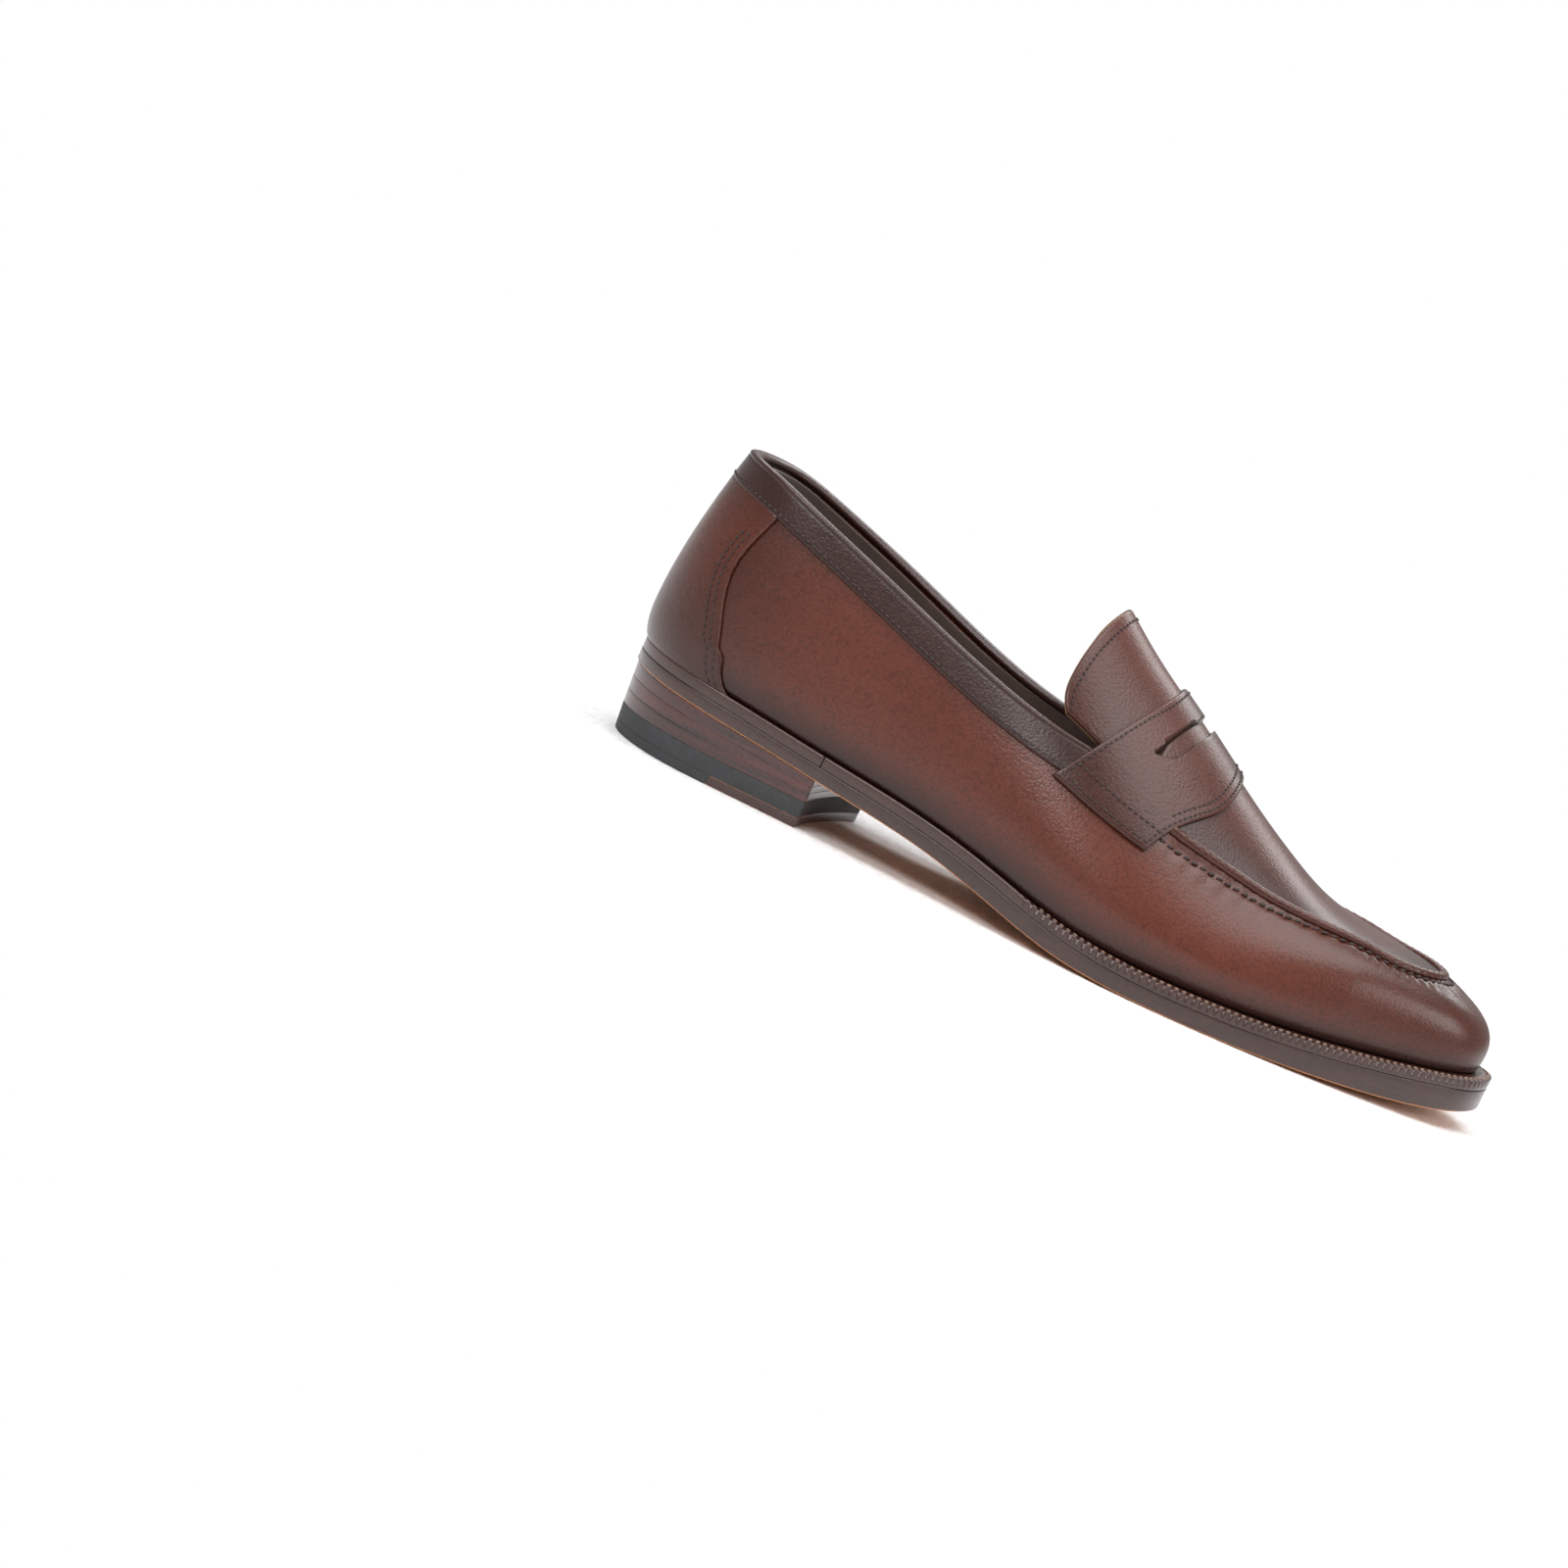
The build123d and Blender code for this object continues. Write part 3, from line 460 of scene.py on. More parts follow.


# %% [markdown]
# Every finish is a Principled shader. Its colour runs between a dark and a light tone by a tone painted on
# the mesh, which holds burnish and also painted highlights and painted shade, and by the clouds. Grain drives
# the bump.


# %% A finish from a few values
def place_group(tree, group, vector, **values):
    node = tree.nodes.new("ShaderNodeGroup")
    node.node_tree = group
    tree.links.new(vector, node.inputs["Vector"])
    for label, value in values.items():
        node.inputs[label].default_value = value
    return node


def mix_colour(tree, factor, a, b):
    node = tree.nodes.new("ShaderNodeMix")
    node.data_type = "RGBA"
    tree.links.new(factor, node.inputs[0])
    for socket, value in ((node.inputs[6], a), (node.inputs[7], b)):
        if isinstance(value, tuple):
            socket.default_value = (*value, 1.0)
        else:
            tree.links.new(value, socket)
    return node.outputs[2]


GRAIN_DEPTH = 0.0002


def finish(name, dark, light, rough, cell, bump, cloud, cloud_share, stretch=(1, 1, 1), coat=0.0,
           coat_rough=0.25, sheen=0.0, metal=0.0, toned=True, specular=0.5):
    material = bpy.data.materials.new(name)
    material.use_nodes = True
    tree = material.node_tree
    bsdf = tree.nodes["Principled BSDF"]
    where = tree.nodes.new("ShaderNodeTexCoord").outputs["Object"]
    scaled = tree.nodes.new("ShaderNodeMapping")
    scaled.inputs["Scale"].default_value = stretch
    tree.links.new(where, scaled.inputs["Vector"])
    clouds = place_group(tree, CLOUDS, scaled.outputs["Vector"], Scale=cloud).outputs["Value"]
    grain = place_group(tree, GRAIN, where, Cell=cell)
    if toned:
        painted = tree.nodes.new("ShaderNodeAttribute")
        painted.attribute_name = "tone"
        base = math_node(tree, "MULTIPLY", painted.outputs["Fac"], 1.0 - cloud_share)
    else:
        base = 0.5 * (1.0 - cloud_share)
    tone = math_node(tree, "ADD", math_node(tree, "MULTIPLY", clouds, cloud_share), base, clamp=True)
    colour = mix_colour(tree, tone, dark, light)
    creased = tuple(c * 0.55 for c in dark)
    shade = math_node(tree, "MULTIPLY", grain.outputs["Crease"], 0.45)
    tree.links.new(mix_colour(tree, shade, colour, creased), bsdf.inputs["Base Color"])
    spread = tree.nodes.new("ShaderNodeMapRange")
    tree.links.new(clouds, spread.inputs["Value"])
    spread.inputs["To Min"].default_value, spread.inputs["To Max"].default_value = rough
    tree.links.new(spread.outputs["Result"], bsdf.inputs["Roughness"])
    relief = tree.nodes.new("ShaderNodeBump")
    relief.inputs["Strength"].default_value = bump
    relief.inputs["Distance"].default_value = GRAIN_DEPTH
    tree.links.new(grain.outputs["Height"], relief.inputs["Height"])
    tree.links.new(relief.outputs["Normal"], bsdf.inputs["Normal"])
    bsdf.inputs["Coat Weight"].default_value = coat
    bsdf.inputs["Coat Roughness"].default_value = coat_rough
    bsdf.inputs["Sheen Weight"].default_value = sheen
    bsdf.inputs["Metallic"].default_value = metal
    bsdf.inputs["Specular IOR Level"].default_value = specular
    return material


print("grain depth, m:", GRAIN_DEPTH)

# %% [markdown]
# Each finish is given its dark and light tone, its range of roughness, the size and strength of
# its grain, and the size and share of its clouds. Cells and clouds are counted per metre.

# %% The finishes of the shoe
CALF = finish("calf", (0.013, 0.0050, 0.0040), (0.120, 0.027, 0.0135), (0.27, 0.37), 1100, 0.5, 22, 0.2,
              coat=0.1, coat_rough=0.24, specular=0.4)
CALF_DARK = finish("calf_dark", (0.010, 0.0042, 0.0036), (0.055, 0.016, 0.011), (0.27, 0.37), 1100, 0.5,
                   26, 0.25, coat=0.1, coat_rough=0.24, specular=0.4)
SUEDE = finish("lining_suede", (0.022, 0.013, 0.010), (0.085, 0.052, 0.038), (0.8, 0.95), 2600, 0.4,
               90, 0.6, sheen=0.4)
LINING_CALF = finish("lining_calf", (0.20, 0.105, 0.055), (0.42, 0.25, 0.145), (0.5, 0.65), 2200, 0.15,
                     50, 0.5)
SOLE_LEATHER = finish("sole_leather", (0.36, 0.125, 0.04), (0.72, 0.30, 0.11), (0.34, 0.5), 1800, 0.12,
                      26, 0.5, coat=0.15, coat_rough=0.3)
EDGE = finish("edge_leather", (0.018, 0.008, 0.006), (0.075, 0.028, 0.020), (0.28, 0.42), 1200, 0.2,
              60, 0.5, (1, 1, 9), coat=0.4, coat_rough=0.25)
HEEL_STACK = finish("heel_stack", (0.012, 0.006, 0.006), (0.105, 0.026, 0.022), (0.25, 0.42), 900, 0.18,
                    46, 0.95, (0.5, 0.5, 9.0), coat=0.4, coat_rough=0.22, toned=False)
RUBBER = finish("rubber", (0.022, 0.022, 0.024), (0.055, 0.057, 0.060), (0.62, 0.78), 1500, 0.3,
                120, 0.7, toned=False)
THREAD_DARK = finish("thread_dark", (0.012, 0.006, 0.005), (0.045, 0.02, 0.016), (0.5, 0.65), 4000, 0.3,
                     300, 0.7, toned=False)
# The welt thread is painted pale: a painted glint standing for the shine on dark thread.
THREAD_PAINTED_GLINT = finish("thread_pale", (0.13, 0.062, 0.040), (0.42, 0.26, 0.18), (0.4, 0.6), 4000, 0.3,
                     300, 0.7, toned=False)
BRASS = finish("nail_brass", (0.16, 0.075, 0.028), (0.55, 0.30, 0.11), (0.3, 0.45), 3000, 0.1,
               300, 0.7, metal=1.0, toned=False)
STEEL = finish("steel", (0.25, 0.25, 0.26), (0.55, 0.55, 0.56), (0.3, 0.4), 1500, 0.1,
               300, 0.7, (1, 20, 1), metal=1.0, toned=False)
BOARD = finish("fibreboard", (0.30, 0.22, 0.14), (0.52, 0.42, 0.30), (0.8, 0.9), 2500, 0.3,
               300, 0.8, toned=False)
CORK = finish("cork", (0.14, 0.07, 0.03), (0.48, 0.30, 0.16), (0.8, 0.95), 500, 0.6, 500, 0.9, toned=False)
CANVAS = finish("canvas", (0.5, 0.44, 0.34), (0.78, 0.72, 0.6), (0.8, 0.9), 1800, 0.5, 900, 0.8, toned=False)
print("finishes:", len(bpy.data.materials))


# %% [markdown]
# Stitches are real thread, a locked loop that sinks between two holes. Each one is a small
# rounded grain of thread, set at an even pitch along a seam and pressed into the leather.


# %% Rows of stitches
def along_seam(s, t, depth, pitch):
    """Points, directions and normals at an even pitch along a line on the skin."""
    s, t = np.asarray(s, float), np.asarray(t, float)
    line = skin(s, t)
    walk = np.r_[0, np.cumsum(np.linalg.norm(np.diff(line, axis=0), axis=1))]
    count = max(2, int(walk[-1] / pitch))
    at = (np.arange(count) + 0.5) * walk[-1] / count
    ss, tt = np.interp(at, walk, s), np.interp(at, walk, t)
    normal = -inward(ss, tt)
    points = skin(ss, tt) - normal * depth
    ahead = np.stack([np.interp(at + 0.3, walk, line[:, k]) - np.interp(at - 0.3, walk, line[:, k])
                      for k in range(3)], 1)
    ahead /= np.linalg.norm(ahead, axis=1, keepdims=True)
    return points, ahead, normal


def grain_shape(length, width, rings=5, sides=8):
    """A stitch: a capsule, as points and faces."""
    points, faces = [], []
    for i in range(rings):
        a = -1 + 2 * i / (rings - 1)
        fat = math.sqrt(max(0.0, 1 - 0.86 * a**4)) * (0.55 if abs(a) == 1 else 1.0)
        for k in range(sides):
            turn = 2 * math.pi * k / sides
            reach = width / 2 * fat
            points.append((a * length / 2, math.cos(turn) * reach, math.sin(turn) * reach))
    for i in range(rings - 1):
        for k in range(sides):
            m = (k + 1) % sides
            faces.append((i * sides + k, i * sides + m, (i + 1) * sides + m, (i + 1) * sides + k))
    faces.append(tuple(range(sides))[::-1])
    faces.append(tuple((rings - 1) * sides + k for k in range(sides)))
    return np.array(points), faces


def stitch_row(name, seams, depth, material, pitch=2.3, length=1.8, width=0.75, slant=0.0, body="shoe"):
    shape, quads = grain_shape(length, width)
    points, faces = [], []
    for s, t in seams:
        for point, ahead, normal in zip(*along_seam(s, t, depth, pitch)):
            side = np.cross(normal, ahead)
            lean = ahead * math.cos(slant) + side * math.sin(slant)
            cross = np.cross(normal, lean)
            start = len(points)
            points += [point + lean * a + cross * b + normal * c for a, b, c in shape]
            faces += [tuple(start + k for k in quad) for quad in quads]
    piece = mesh_object(name, points, faces, material)
    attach(piece, body)
    print(name, "stitches:", len(points) // len(shape))
    return piece


print("points in one stitch:", len(grain_shape(1.8, 0.75)[0]))

# %% [markdown]
# The side panels are one U-shaped piece of calf, from the back seam round the toe and back. They are pulled
# under the insole, and along the moc seam the needle puckers them. The tone is dark low down, partly burnish
# and partly painted shade, dark at the heel as burnish, and lighter on the flanks as a painted highlight.


# %% Side panels
def flank_burnish_and_painted_light(s, t, p):
    # Darker low down is partly burnish and partly painted shade; the lighter flanks are a painted highlight.
    low = smooth(t, 0.25, 1.2)
    heel = smooth(p[..., 0], -150, -85)
    toe = 1 - 0.45 * smooth(p[..., 0], 50, 140)
    top = 1 - 0.35 * smooth(t, 1.2, 1.5)
    return np.clip((0.02 + 0.98 * low) * (0.3 + 0.7 * heel) * toe * top, 0, 1)


STITCH_PITCH = 3.1
TOE_ROUND, FAR_SIDE = 24.0, 362.0


def seam_walk(s, p):
    """Distance along the moc seam, in millimetres: there, round the toe, and back."""
    angle = (np.mod(s, 1.0) - 0.375) / 0.25 * np.pi
    sides = np.where(s < 0.5, p[..., 0], FAR_SIDE - p[..., 0])
    return np.where((s > 0.375) & (s < 0.625), TOE_X + angle * TOE_ROUND, sides)


def pucker(s, t, p):
    below = (rim_rise(s[:, 0])[:, None] - t) * 36.0
    shown = smooth(p[..., 0], 20, 34) * (np.minimum(s, 1 - s) > 0.26)
    wave = np.sin(seam_walk(s, p) * 2 * np.pi / STITCH_PITCH + np.sin(below * 0.9) * 0.8)
    ripple = 0.3 * wave * np.exp(-((below - 3.2) / 2.0)**2)
    groove = 0.55 * np.exp(-((below - 2.2) / 0.7)**2)
    return (ripple + groove) * shown


ring = np.linspace(0, 1, 401)[:-1]
side_panels = wall_sheet("side_panels", ring, lambda s: -0.9, lambda s: rim_rise(s), 0.0, LEATHER, CALF,
                         step=1.3, relief=pucker, tone=flank_burnish_and_painted_light, wrap=True)
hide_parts("side_panels")
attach(side_panels, "shoe")
print("side panels, faces:", len(side_panels.data.polygons))


# %% [markdown]
# The apron is the plug over the toes. It is drawn from its seam up to the ridge, and round the
# toe its stations meet in one point, so no seam shows along the middle.


# %% Apron
def crown_sheet(name, start, gap, near, far, material, tone, rows=26):
    half = np.r_[np.linspace(start, 0.375, 60)[:-1], np.linspace(0.375, 0.5, 50)]
    stations = np.r_[half, 1 - half[-2::-1]]
    low = apron_rise(stations, gap)
    share = (1 - np.cos(np.linspace(0, np.pi, rows))) / 2
    t = np.minimum(low[:, None] * (1 - share) + 2.0 * share, 1.9996)
    s = np.broadcast_to(stations[:, None], t.shape)
    outer, inner = sheet_points(s, t, near + 0 * s, far + 0 * s, 0 * s)
    fan = (stations > 0.3749) & (stations < 0.6251)
    for face in (outer, inner):
        ridge = (face[:, -1] + face[::-1, -1]) / 2
        ridge[fan] = ridge[fan].mean(axis=0)
        face[:, -1] = ridge
    n, m = s.shape
    grid = np.arange(n * m).reshape(n, m)
    faces = []
    for a, b in zip(grid[:-1], grid[1:]):
        faces += list(zip(a[:-1], a[1:], b[1:], b[:-1]))
        faces += list(zip(b[:-1] + n * m, b[1:] + n * m, a[1:] + n * m, a[:-1] + n * m))
    for border in (grid[:, 0], grid[0], grid[-1]):
        faces += [(a, b, b + n * m, a + n * m) for a, b in zip(border[:-1], border[1:])]
    points = np.concatenate([outer.reshape(-1, 3), inner.reshape(-1, 3)])
    value = tone(s, t, skin(s, t)).ravel()
    piece = mesh_object(name, points, faces, material, np.r_[value, value])
    fix_normals(piece)
    return piece


def apron_painted_shade_and_highlight(s, t, p):
    # Darker along the seam and lighter up towards the ridge: painted shade and a painted highlight; it also
    # darkens towards the toe.
    edge = smooth((t - apron_rise(s[:, 0])[:, None]) * 36, 0, 9)
    return np.clip(0.18 + 0.45 * edge - 0.12 * smooth(p[..., 0], 60, 125), 0, 1)


apron = crown_sheet("apron", station_of(13), -0.4, 0.0, LEATHER, CALF, apron_painted_shade_and_highlight)
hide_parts("apron")
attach(apron, "shoe")
apron_lining = crown_sheet("apron_lining", station_of(13), -2, LEATHER + 0.1, LEATHER + 0.9, SUEDE,
                           lambda s, t, p: 0.5 + 0 * t)
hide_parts("apron_lining")
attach(apron_lining, "shoe")
print("apron, faces:", len(apron.data.polygons))

# %% [markdown]
# A folded lip is a roll: an oval section that walks along a line on the skin and closes in a
# round end. A bevelled curve would twist on the toe, so the section is set square to the skin.


# %% A roll of leather, and the moc seam
def roll_along(name, s, t, depth, radii, material, tone, sides=12, wave=0.0):
    """A rounded roll of leather along a line on the skin, wide and high as radii says."""
    normal = -inward(s, t)
    line = skin(s, t) - normal * np.asarray(depth + 0 * s)[:, None]
    ahead = np.gradient(line, axis=0)
    ahead /= np.linalg.norm(ahead, axis=1, keepdims=True)
    side = np.cross(normal, ahead)
    walk = np.r_[0, np.cumsum(np.linalg.norm(np.diff(line, axis=0), axis=1))]
    end = np.minimum(walk, walk[-1] - walk)
    fat = np.sqrt(np.clip(1 - (1 - np.clip(end / radii[0], 0, 1))**2, 0.02, 1))
    fat = fat * (1 + wave * np.sin(walk * 2 * np.pi / STITCH_PITCH))
    turn = np.linspace(0, 2 * np.pi, sides, endpoint=False)
    points = (line[:, None] + side[:, None] * (np.cos(turn)[None, :, None] * radii[0] * fat[:, None, None])
              + normal[:, None] * (np.sin(turn)[None, :, None] * radii[1] * fat[:, None, None]))
    n = len(s)
    faces = []
    for a, b in ((i * sides, (i + 1) * sides) for i in range(n - 1)):
        faces += [(a + k, a + (k + 1) % sides, b + (k + 1) % sides, b + k) for k in range(sides)]
    faces += [tuple(range(sides)), tuple((n - 1) * sides + k for k in range(sides))]
    piece = mesh_object(name, points.reshape(-1, 3), faces, material, np.full(n * sides, tone))
    fix_normals(piece)
    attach(piece, "shoe")
    return piece


seam_s = np.linspace(station_of(20), 1 - station_of(20), 900)
seam_t = apron_rise(seam_s)
roll_along("moc_seam_roll", seam_s, seam_t - 0.012, -0.2, (1.75, 1.45), CALF, 0.5, wave=0.04)
moc_stitch = stitch_row("moc_seam_thread", [(seam_s, seam_t - 0.068)], 0.15, THREAD_DARK,
                        pitch=STITCH_PITCH, length=2.5, width=1.1, slant=0.2)
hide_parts("moc_seam_thread")


# %% [markdown]
# At the back a counter cover is laid over the quarters, and a band with a folded bead binds the
# topline. Both stand proud by their own thickness, which gives the seams their shadow.


# %% Counter cover, topline band and bead
def dark_counter_painted_highlight(s, t, p):
    # The lighter band at mid height on the counter cover is a painted highlight on dark leather.
    return np.clip(0.25 + 0.5 * smooth(p[..., 2], 30, 75) * (1 - smooth(p[..., 2], 75, 95)), 0, 1)


across = np.linspace(-1, 1, 91)
share = np.r_[0, 0.004, 0.01, np.linspace(0.02, 0.985, 40), 0.995, 1.0]
cover_top = topline_rise(across * 0.094, BAND - 0.6)
cover_t = cover_top[:, None] * share
cover_s = across[:, None] * curve["counter"](cover_t)
rim = np.minimum((1 - np.abs(across[:, None])) * 30.0, share * 60.0)
counter = sheet_object("heel_counter_cover", cover_s, cover_t, -LEATHER + 0.1, 0.0, edge_fall(rim, 0.8), CALF,
                       tone=dark_counter_painted_highlight)
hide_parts("heel_counter_cover")
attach(counter, "shoe")

BAND_END = 0.2535
band_s = stations_between(-BAND_END, BAND_END, 0.003)
band = wall_sheet("topline_band", band_s, lambda s: topline_rise(s, BAND), lambda s: topline_rise(s, -0.3),
                  -LEATHER, -0.05, CALF_DARK, step=0.9, radius=0.6,
                  tone=lambda s, t, p: 0.45 + 0 * t)
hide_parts("topline_band")
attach(band, "shoe")
bead_s = np.linspace(-BAND_END, BAND_END, 400)
bead = roll_along("topline_bead", bead_s, topline_rise(bead_s, -0.9), 0.7, (1.35, 2.3), CALF_DARK,
                  0.6)
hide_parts("topline_bead")

print("band and bead reach this station:", BAND_END)

# %% [markdown]
# One row of stitches holds the band, and two run down each side seam of the counter cover.

# %% Stitches of the band and the counter
band_row = stitch_row("band_thread", [(bead_s, topline_rise(bead_s, BAND - 1.5))], -LEATHER - 0.02,
                      THREAD_DARK, pitch=2.4)
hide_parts("band_thread")
rise_line = np.linspace(0.25, 1.26, 60)
for mark, way in (("lateral", 1), ("medial", -1)):
    edge = curve["counter"](rise_line) - 0.0075
    for name, inner in ((f"counter_thread_{mark}", 0), (f"counter_thread_inner_{mark}", 0.006)):
        stitch_row(name, [(way * (edge - inner), rise_line)], -LEATHER + 0.05, THREAD_DARK,
                   pitch=2.4)


# %% [markdown]
# The saddle strap crosses the ridge from one side to the other. It is drawn on its own grid, from
# foot to foot, and its window, straight behind and lobed in front, is cut through with a prism.


# %% Saddle strap, with its window
def saddle_grid(rear, front, foot, width_steps, over=161):
    arch = np.linspace(-1, 1, over)
    width = np.asarray(width_steps)[:, None]
    t = np.minimum(2 - (2 - foot(width)) * np.abs(arch)[None, :], 1.9996)
    x = rear(t) * (1 - width) + front(t) * width
    s = station_of(x)
    return np.where(arch[None, :] > 0, 1 - s, s), t


def run_along(points, axis):
    """Distance walked along one direction of a grid of points."""
    legs = np.linalg.norm(np.diff(points, axis=axis), axis=2)
    start = np.zeros_like(legs.take([0], axis=axis))
    return np.concatenate([start, np.cumsum(legs, axis=axis)], axis)


def saddle_sheet(name, rear, front, foot, near, far, material, tone, radius=0.7):
    steps = np.r_[0, 0.003, 0.008, 0.015, 0.022, np.linspace(0.04, 0.96, 24), 0.978, 0.985, 0.992, 0.997, 1]
    s, t = saddle_grid(rear, front, foot, steps)
    points = skin(s, t)
    across_run, over_run = run_along(points, 0), run_along(points, 1)
    rim_w = np.minimum(across_run, across_run[-1:] - across_run)
    rim_l = np.minimum(over_run, over_run[:, -1:] - over_run)
    falls = edge_fall(np.minimum(rim_w, rim_l), radius)
    return sheet_object(name, s, t, near, far, falls, material, tone=tone)


def strap_foot(width):
    return 1.243 * (1 - width) + 1.307 * width


def strap_painted_reflection(s, t, p):
    # The lighter band high on each side of the strap is a painted reflection.
    return np.clip(0.30 + 0.35 * smooth(t, 1.3, 1.7) * (1 - smooth(t, 1.75, 1.98)), 0, 1)


strap = saddle_sheet("saddle_strap", curve["strap_rear"], curve["strap_front"], strap_foot,
                     -LEATHER - 0.25, -0.15, CALF, strap_painted_reflection)

WINDOW_HALF = 31.5
WINDOW_FRONT = [(31.5, 11.0), (28.8, 15.6), (24.7, 18.9), (16.2, 21.9), (8.8, 24.1), (3.0, 25.0), (0, 25.1)]
WINDOW_REAR = [(31.5, 10.9), (20.8, 15.0), (10.0, 18.6), (3.0, 20.2), (0, 20.4)]


def window_cutter():
    """Upright prism through the strap, inside the rear and the front line of the window."""
    front, rear = spline(WINDOW_FRONT[::-1]), spline(WINDOW_REAR[::-1])
    reach = np.linspace(-WINDOW_HALF, WINDOW_HALF, 65)
    rim_points = [(front(abs(w)), SPINE_Y + w) for w in reach]
    rim_points += [(rear(abs(w)), SPINE_Y + w) for w in reach[::-1] if abs(w) < WINDOW_HALF - 0.5]
    low = [(float(x), float(y), 40.0) for x, y in rim_points]
    high = [(x, y, 110.0) for x, y, _ in low]
    n = len(low)
    faces = [tuple(range(n))[::-1], tuple(range(n, 2 * n))]
    faces += [(k, (k + 1) % n, n + (k + 1) % n, n + k) for k in range(n)]
    return mesh_object("window_cutter", low + high, faces, CALF, smooth_faces=False)


def cut_through(piece, cutter):
    modifier = piece.modifiers.new("cut", "BOOLEAN")
    modifier.operation, modifier.object, modifier.solver = "DIFFERENCE", cutter, "EXACT"
    graph = bpy.context.evaluated_depsgraph_get()
    mesh = bpy.data.meshes.new_from_object(piece.evaluated_get(graph))
    piece.modifiers.clear()
    piece.data = mesh
    bpy.data.objects.remove(cutter)


faces_before = len(strap.data.polygons)
cut_through(strap, window_cutter())
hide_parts("saddle_strap")
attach(strap, "shoe")
print("strap faces before and after the window:", faces_before, len(strap.data.polygons))

# %% [markdown]
# The strap is sewn all round. A single row follows its rear edge, two rows its front edge, and
# two more hold each foot, so the pull of the step is spread over many holes.


# %% Stitches of the strap
def across_row(edge, inset, foot, top=1.9996, count=120):
    """Line over the ridge, parallel to an edge of the strap or tongue."""
    arch = np.linspace(-1, 1, count * 2 + 1)
    t = np.minimum(2 - (2 - foot) * np.abs(arch), top)
    s = station_of(curve[edge](t) + inset)
    return np.where(arch > 0, 1 - s, s), t


def foot_row(inset_rise, start=0.03, stop=0.97):
    """Line along the lateral foot of the strap."""
    width = np.linspace(start, stop, 40)
    t = strap_foot(width) + inset_rise
    x = curve["strap_rear"](t) * (1 - width) + curve["strap_front"](t) * width
    return station_of(x), t


rows = [across_row("strap_rear", 1.5, 1.30), across_row("strap_front", -1.5, 1.34),
        across_row("strap_front", -3.7, 1.47)]
for inset in (0.028, 0.092):
    lateral = foot_row(inset)
    rows += [lateral, (1 - lateral[0], lateral[1])]
strap_rows = stitch_row("strap_thread", rows, -LEATHER - 0.28, THREAD_DARK, pitch=2.1,
                        length=1.65, width=0.75)
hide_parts("strap_thread")


# %% [markdown]
# The tongue rises behind the strap. It turns on a crease hidden under the strap, and the leather is one
# sheet.


# %% Tongue, its lining and its stitches
def blended(piece):
    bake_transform(piece)


def tongue_foot(width):
    return 1.41 * (1 - width) + 1.455 * width


def strap_shadow(t):
    return curve["strap_rear"](t) + 7.0


def tongue_painted_highlight(s, t, p):
    # Lighter towards the ridge: a painted highlight where the light from above falls.
    return np.clip(0.42 + 0.3 * smooth(t, 1.5, 1.85), 0, 1)


tongue = saddle_sheet("tongue", curve["tongue_rear"], strap_shadow, tongue_foot, 0.1, 1.5, CALF,
                      tongue_painted_highlight)
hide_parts("tongue")
blended(tongue)
tongue_lining = saddle_sheet("tongue_lining", curve["tongue_rear"], strap_shadow, tongue_foot, 1.55, 2.35,
                             LINING_CALF, lambda s, t, p: 0.5 + 0 * t)
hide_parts("tongue_lining")
blended(tongue_lining)
tongue_row = stitch_row("tongue_thread", [across_row("tongue_rear", 2.8, 1.425)], -0.02, THREAD_DARK,
                        pitch=2.1, length=1.65, width=0.75, body="tongue")
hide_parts("tongue_thread")
print("tongue faces:", len(tongue.data.polygons))


# %% [markdown]
# Inside, suede lines the quarters and the vamp. The linings hang just inside the leather, on the
# same skin, and a little deeper at the heel, where a stiffener lies between the two.


# %% Linings
def lining_depth(s):
    x = skin(s, np.full(np.shape(s), 1.2))[..., 0]
    return 1.45 + np.maximum(1.6 * (1 - smooth(x, -60, -20)), smooth(x, 20, 60))


def suede(s, t, p):
    # Darker deep inside the shoe and lighter towards the topline: painted shade in the hollow of the shoe.
    return np.clip(0.35 + 0.4 * smooth(p[..., 2], 20, 80), 0, 1)


quarter_s = stations_between(-0.2535, 0.2535, 0.004)
quarter = wall_sheet("quarter_lining", quarter_s, lambda s: 0.25, lambda s: topline_rise(s, 0.6),
                     lining_depth, lambda s: lining_depth(s) + LINING, SUEDE, step=3,
                     tone=suede)
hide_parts("quarter_lining")
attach(quarter, "shoe")
vamp_s = stations_between(0.2545, 0.7455, 0.004)
vamp = wall_sheet("vamp_lining", vamp_s, lambda s: 0.25, lambda s: apron_rise(s, 1.0), lining_depth,
                  lambda s: lining_depth(s) + LINING, SUEDE, step=3, tone=suede)
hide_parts("vamp_lining")
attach(vamp, "shoe")
print("lining faces:", len(quarter.data.polygons) + len(vamp.data.polygons))

# %% [markdown]
# The insole is the board the whole shoe is built on. It is drawn as one closed plate whose rim
# follows the last, a little inside the welt, with its edge rounded over.


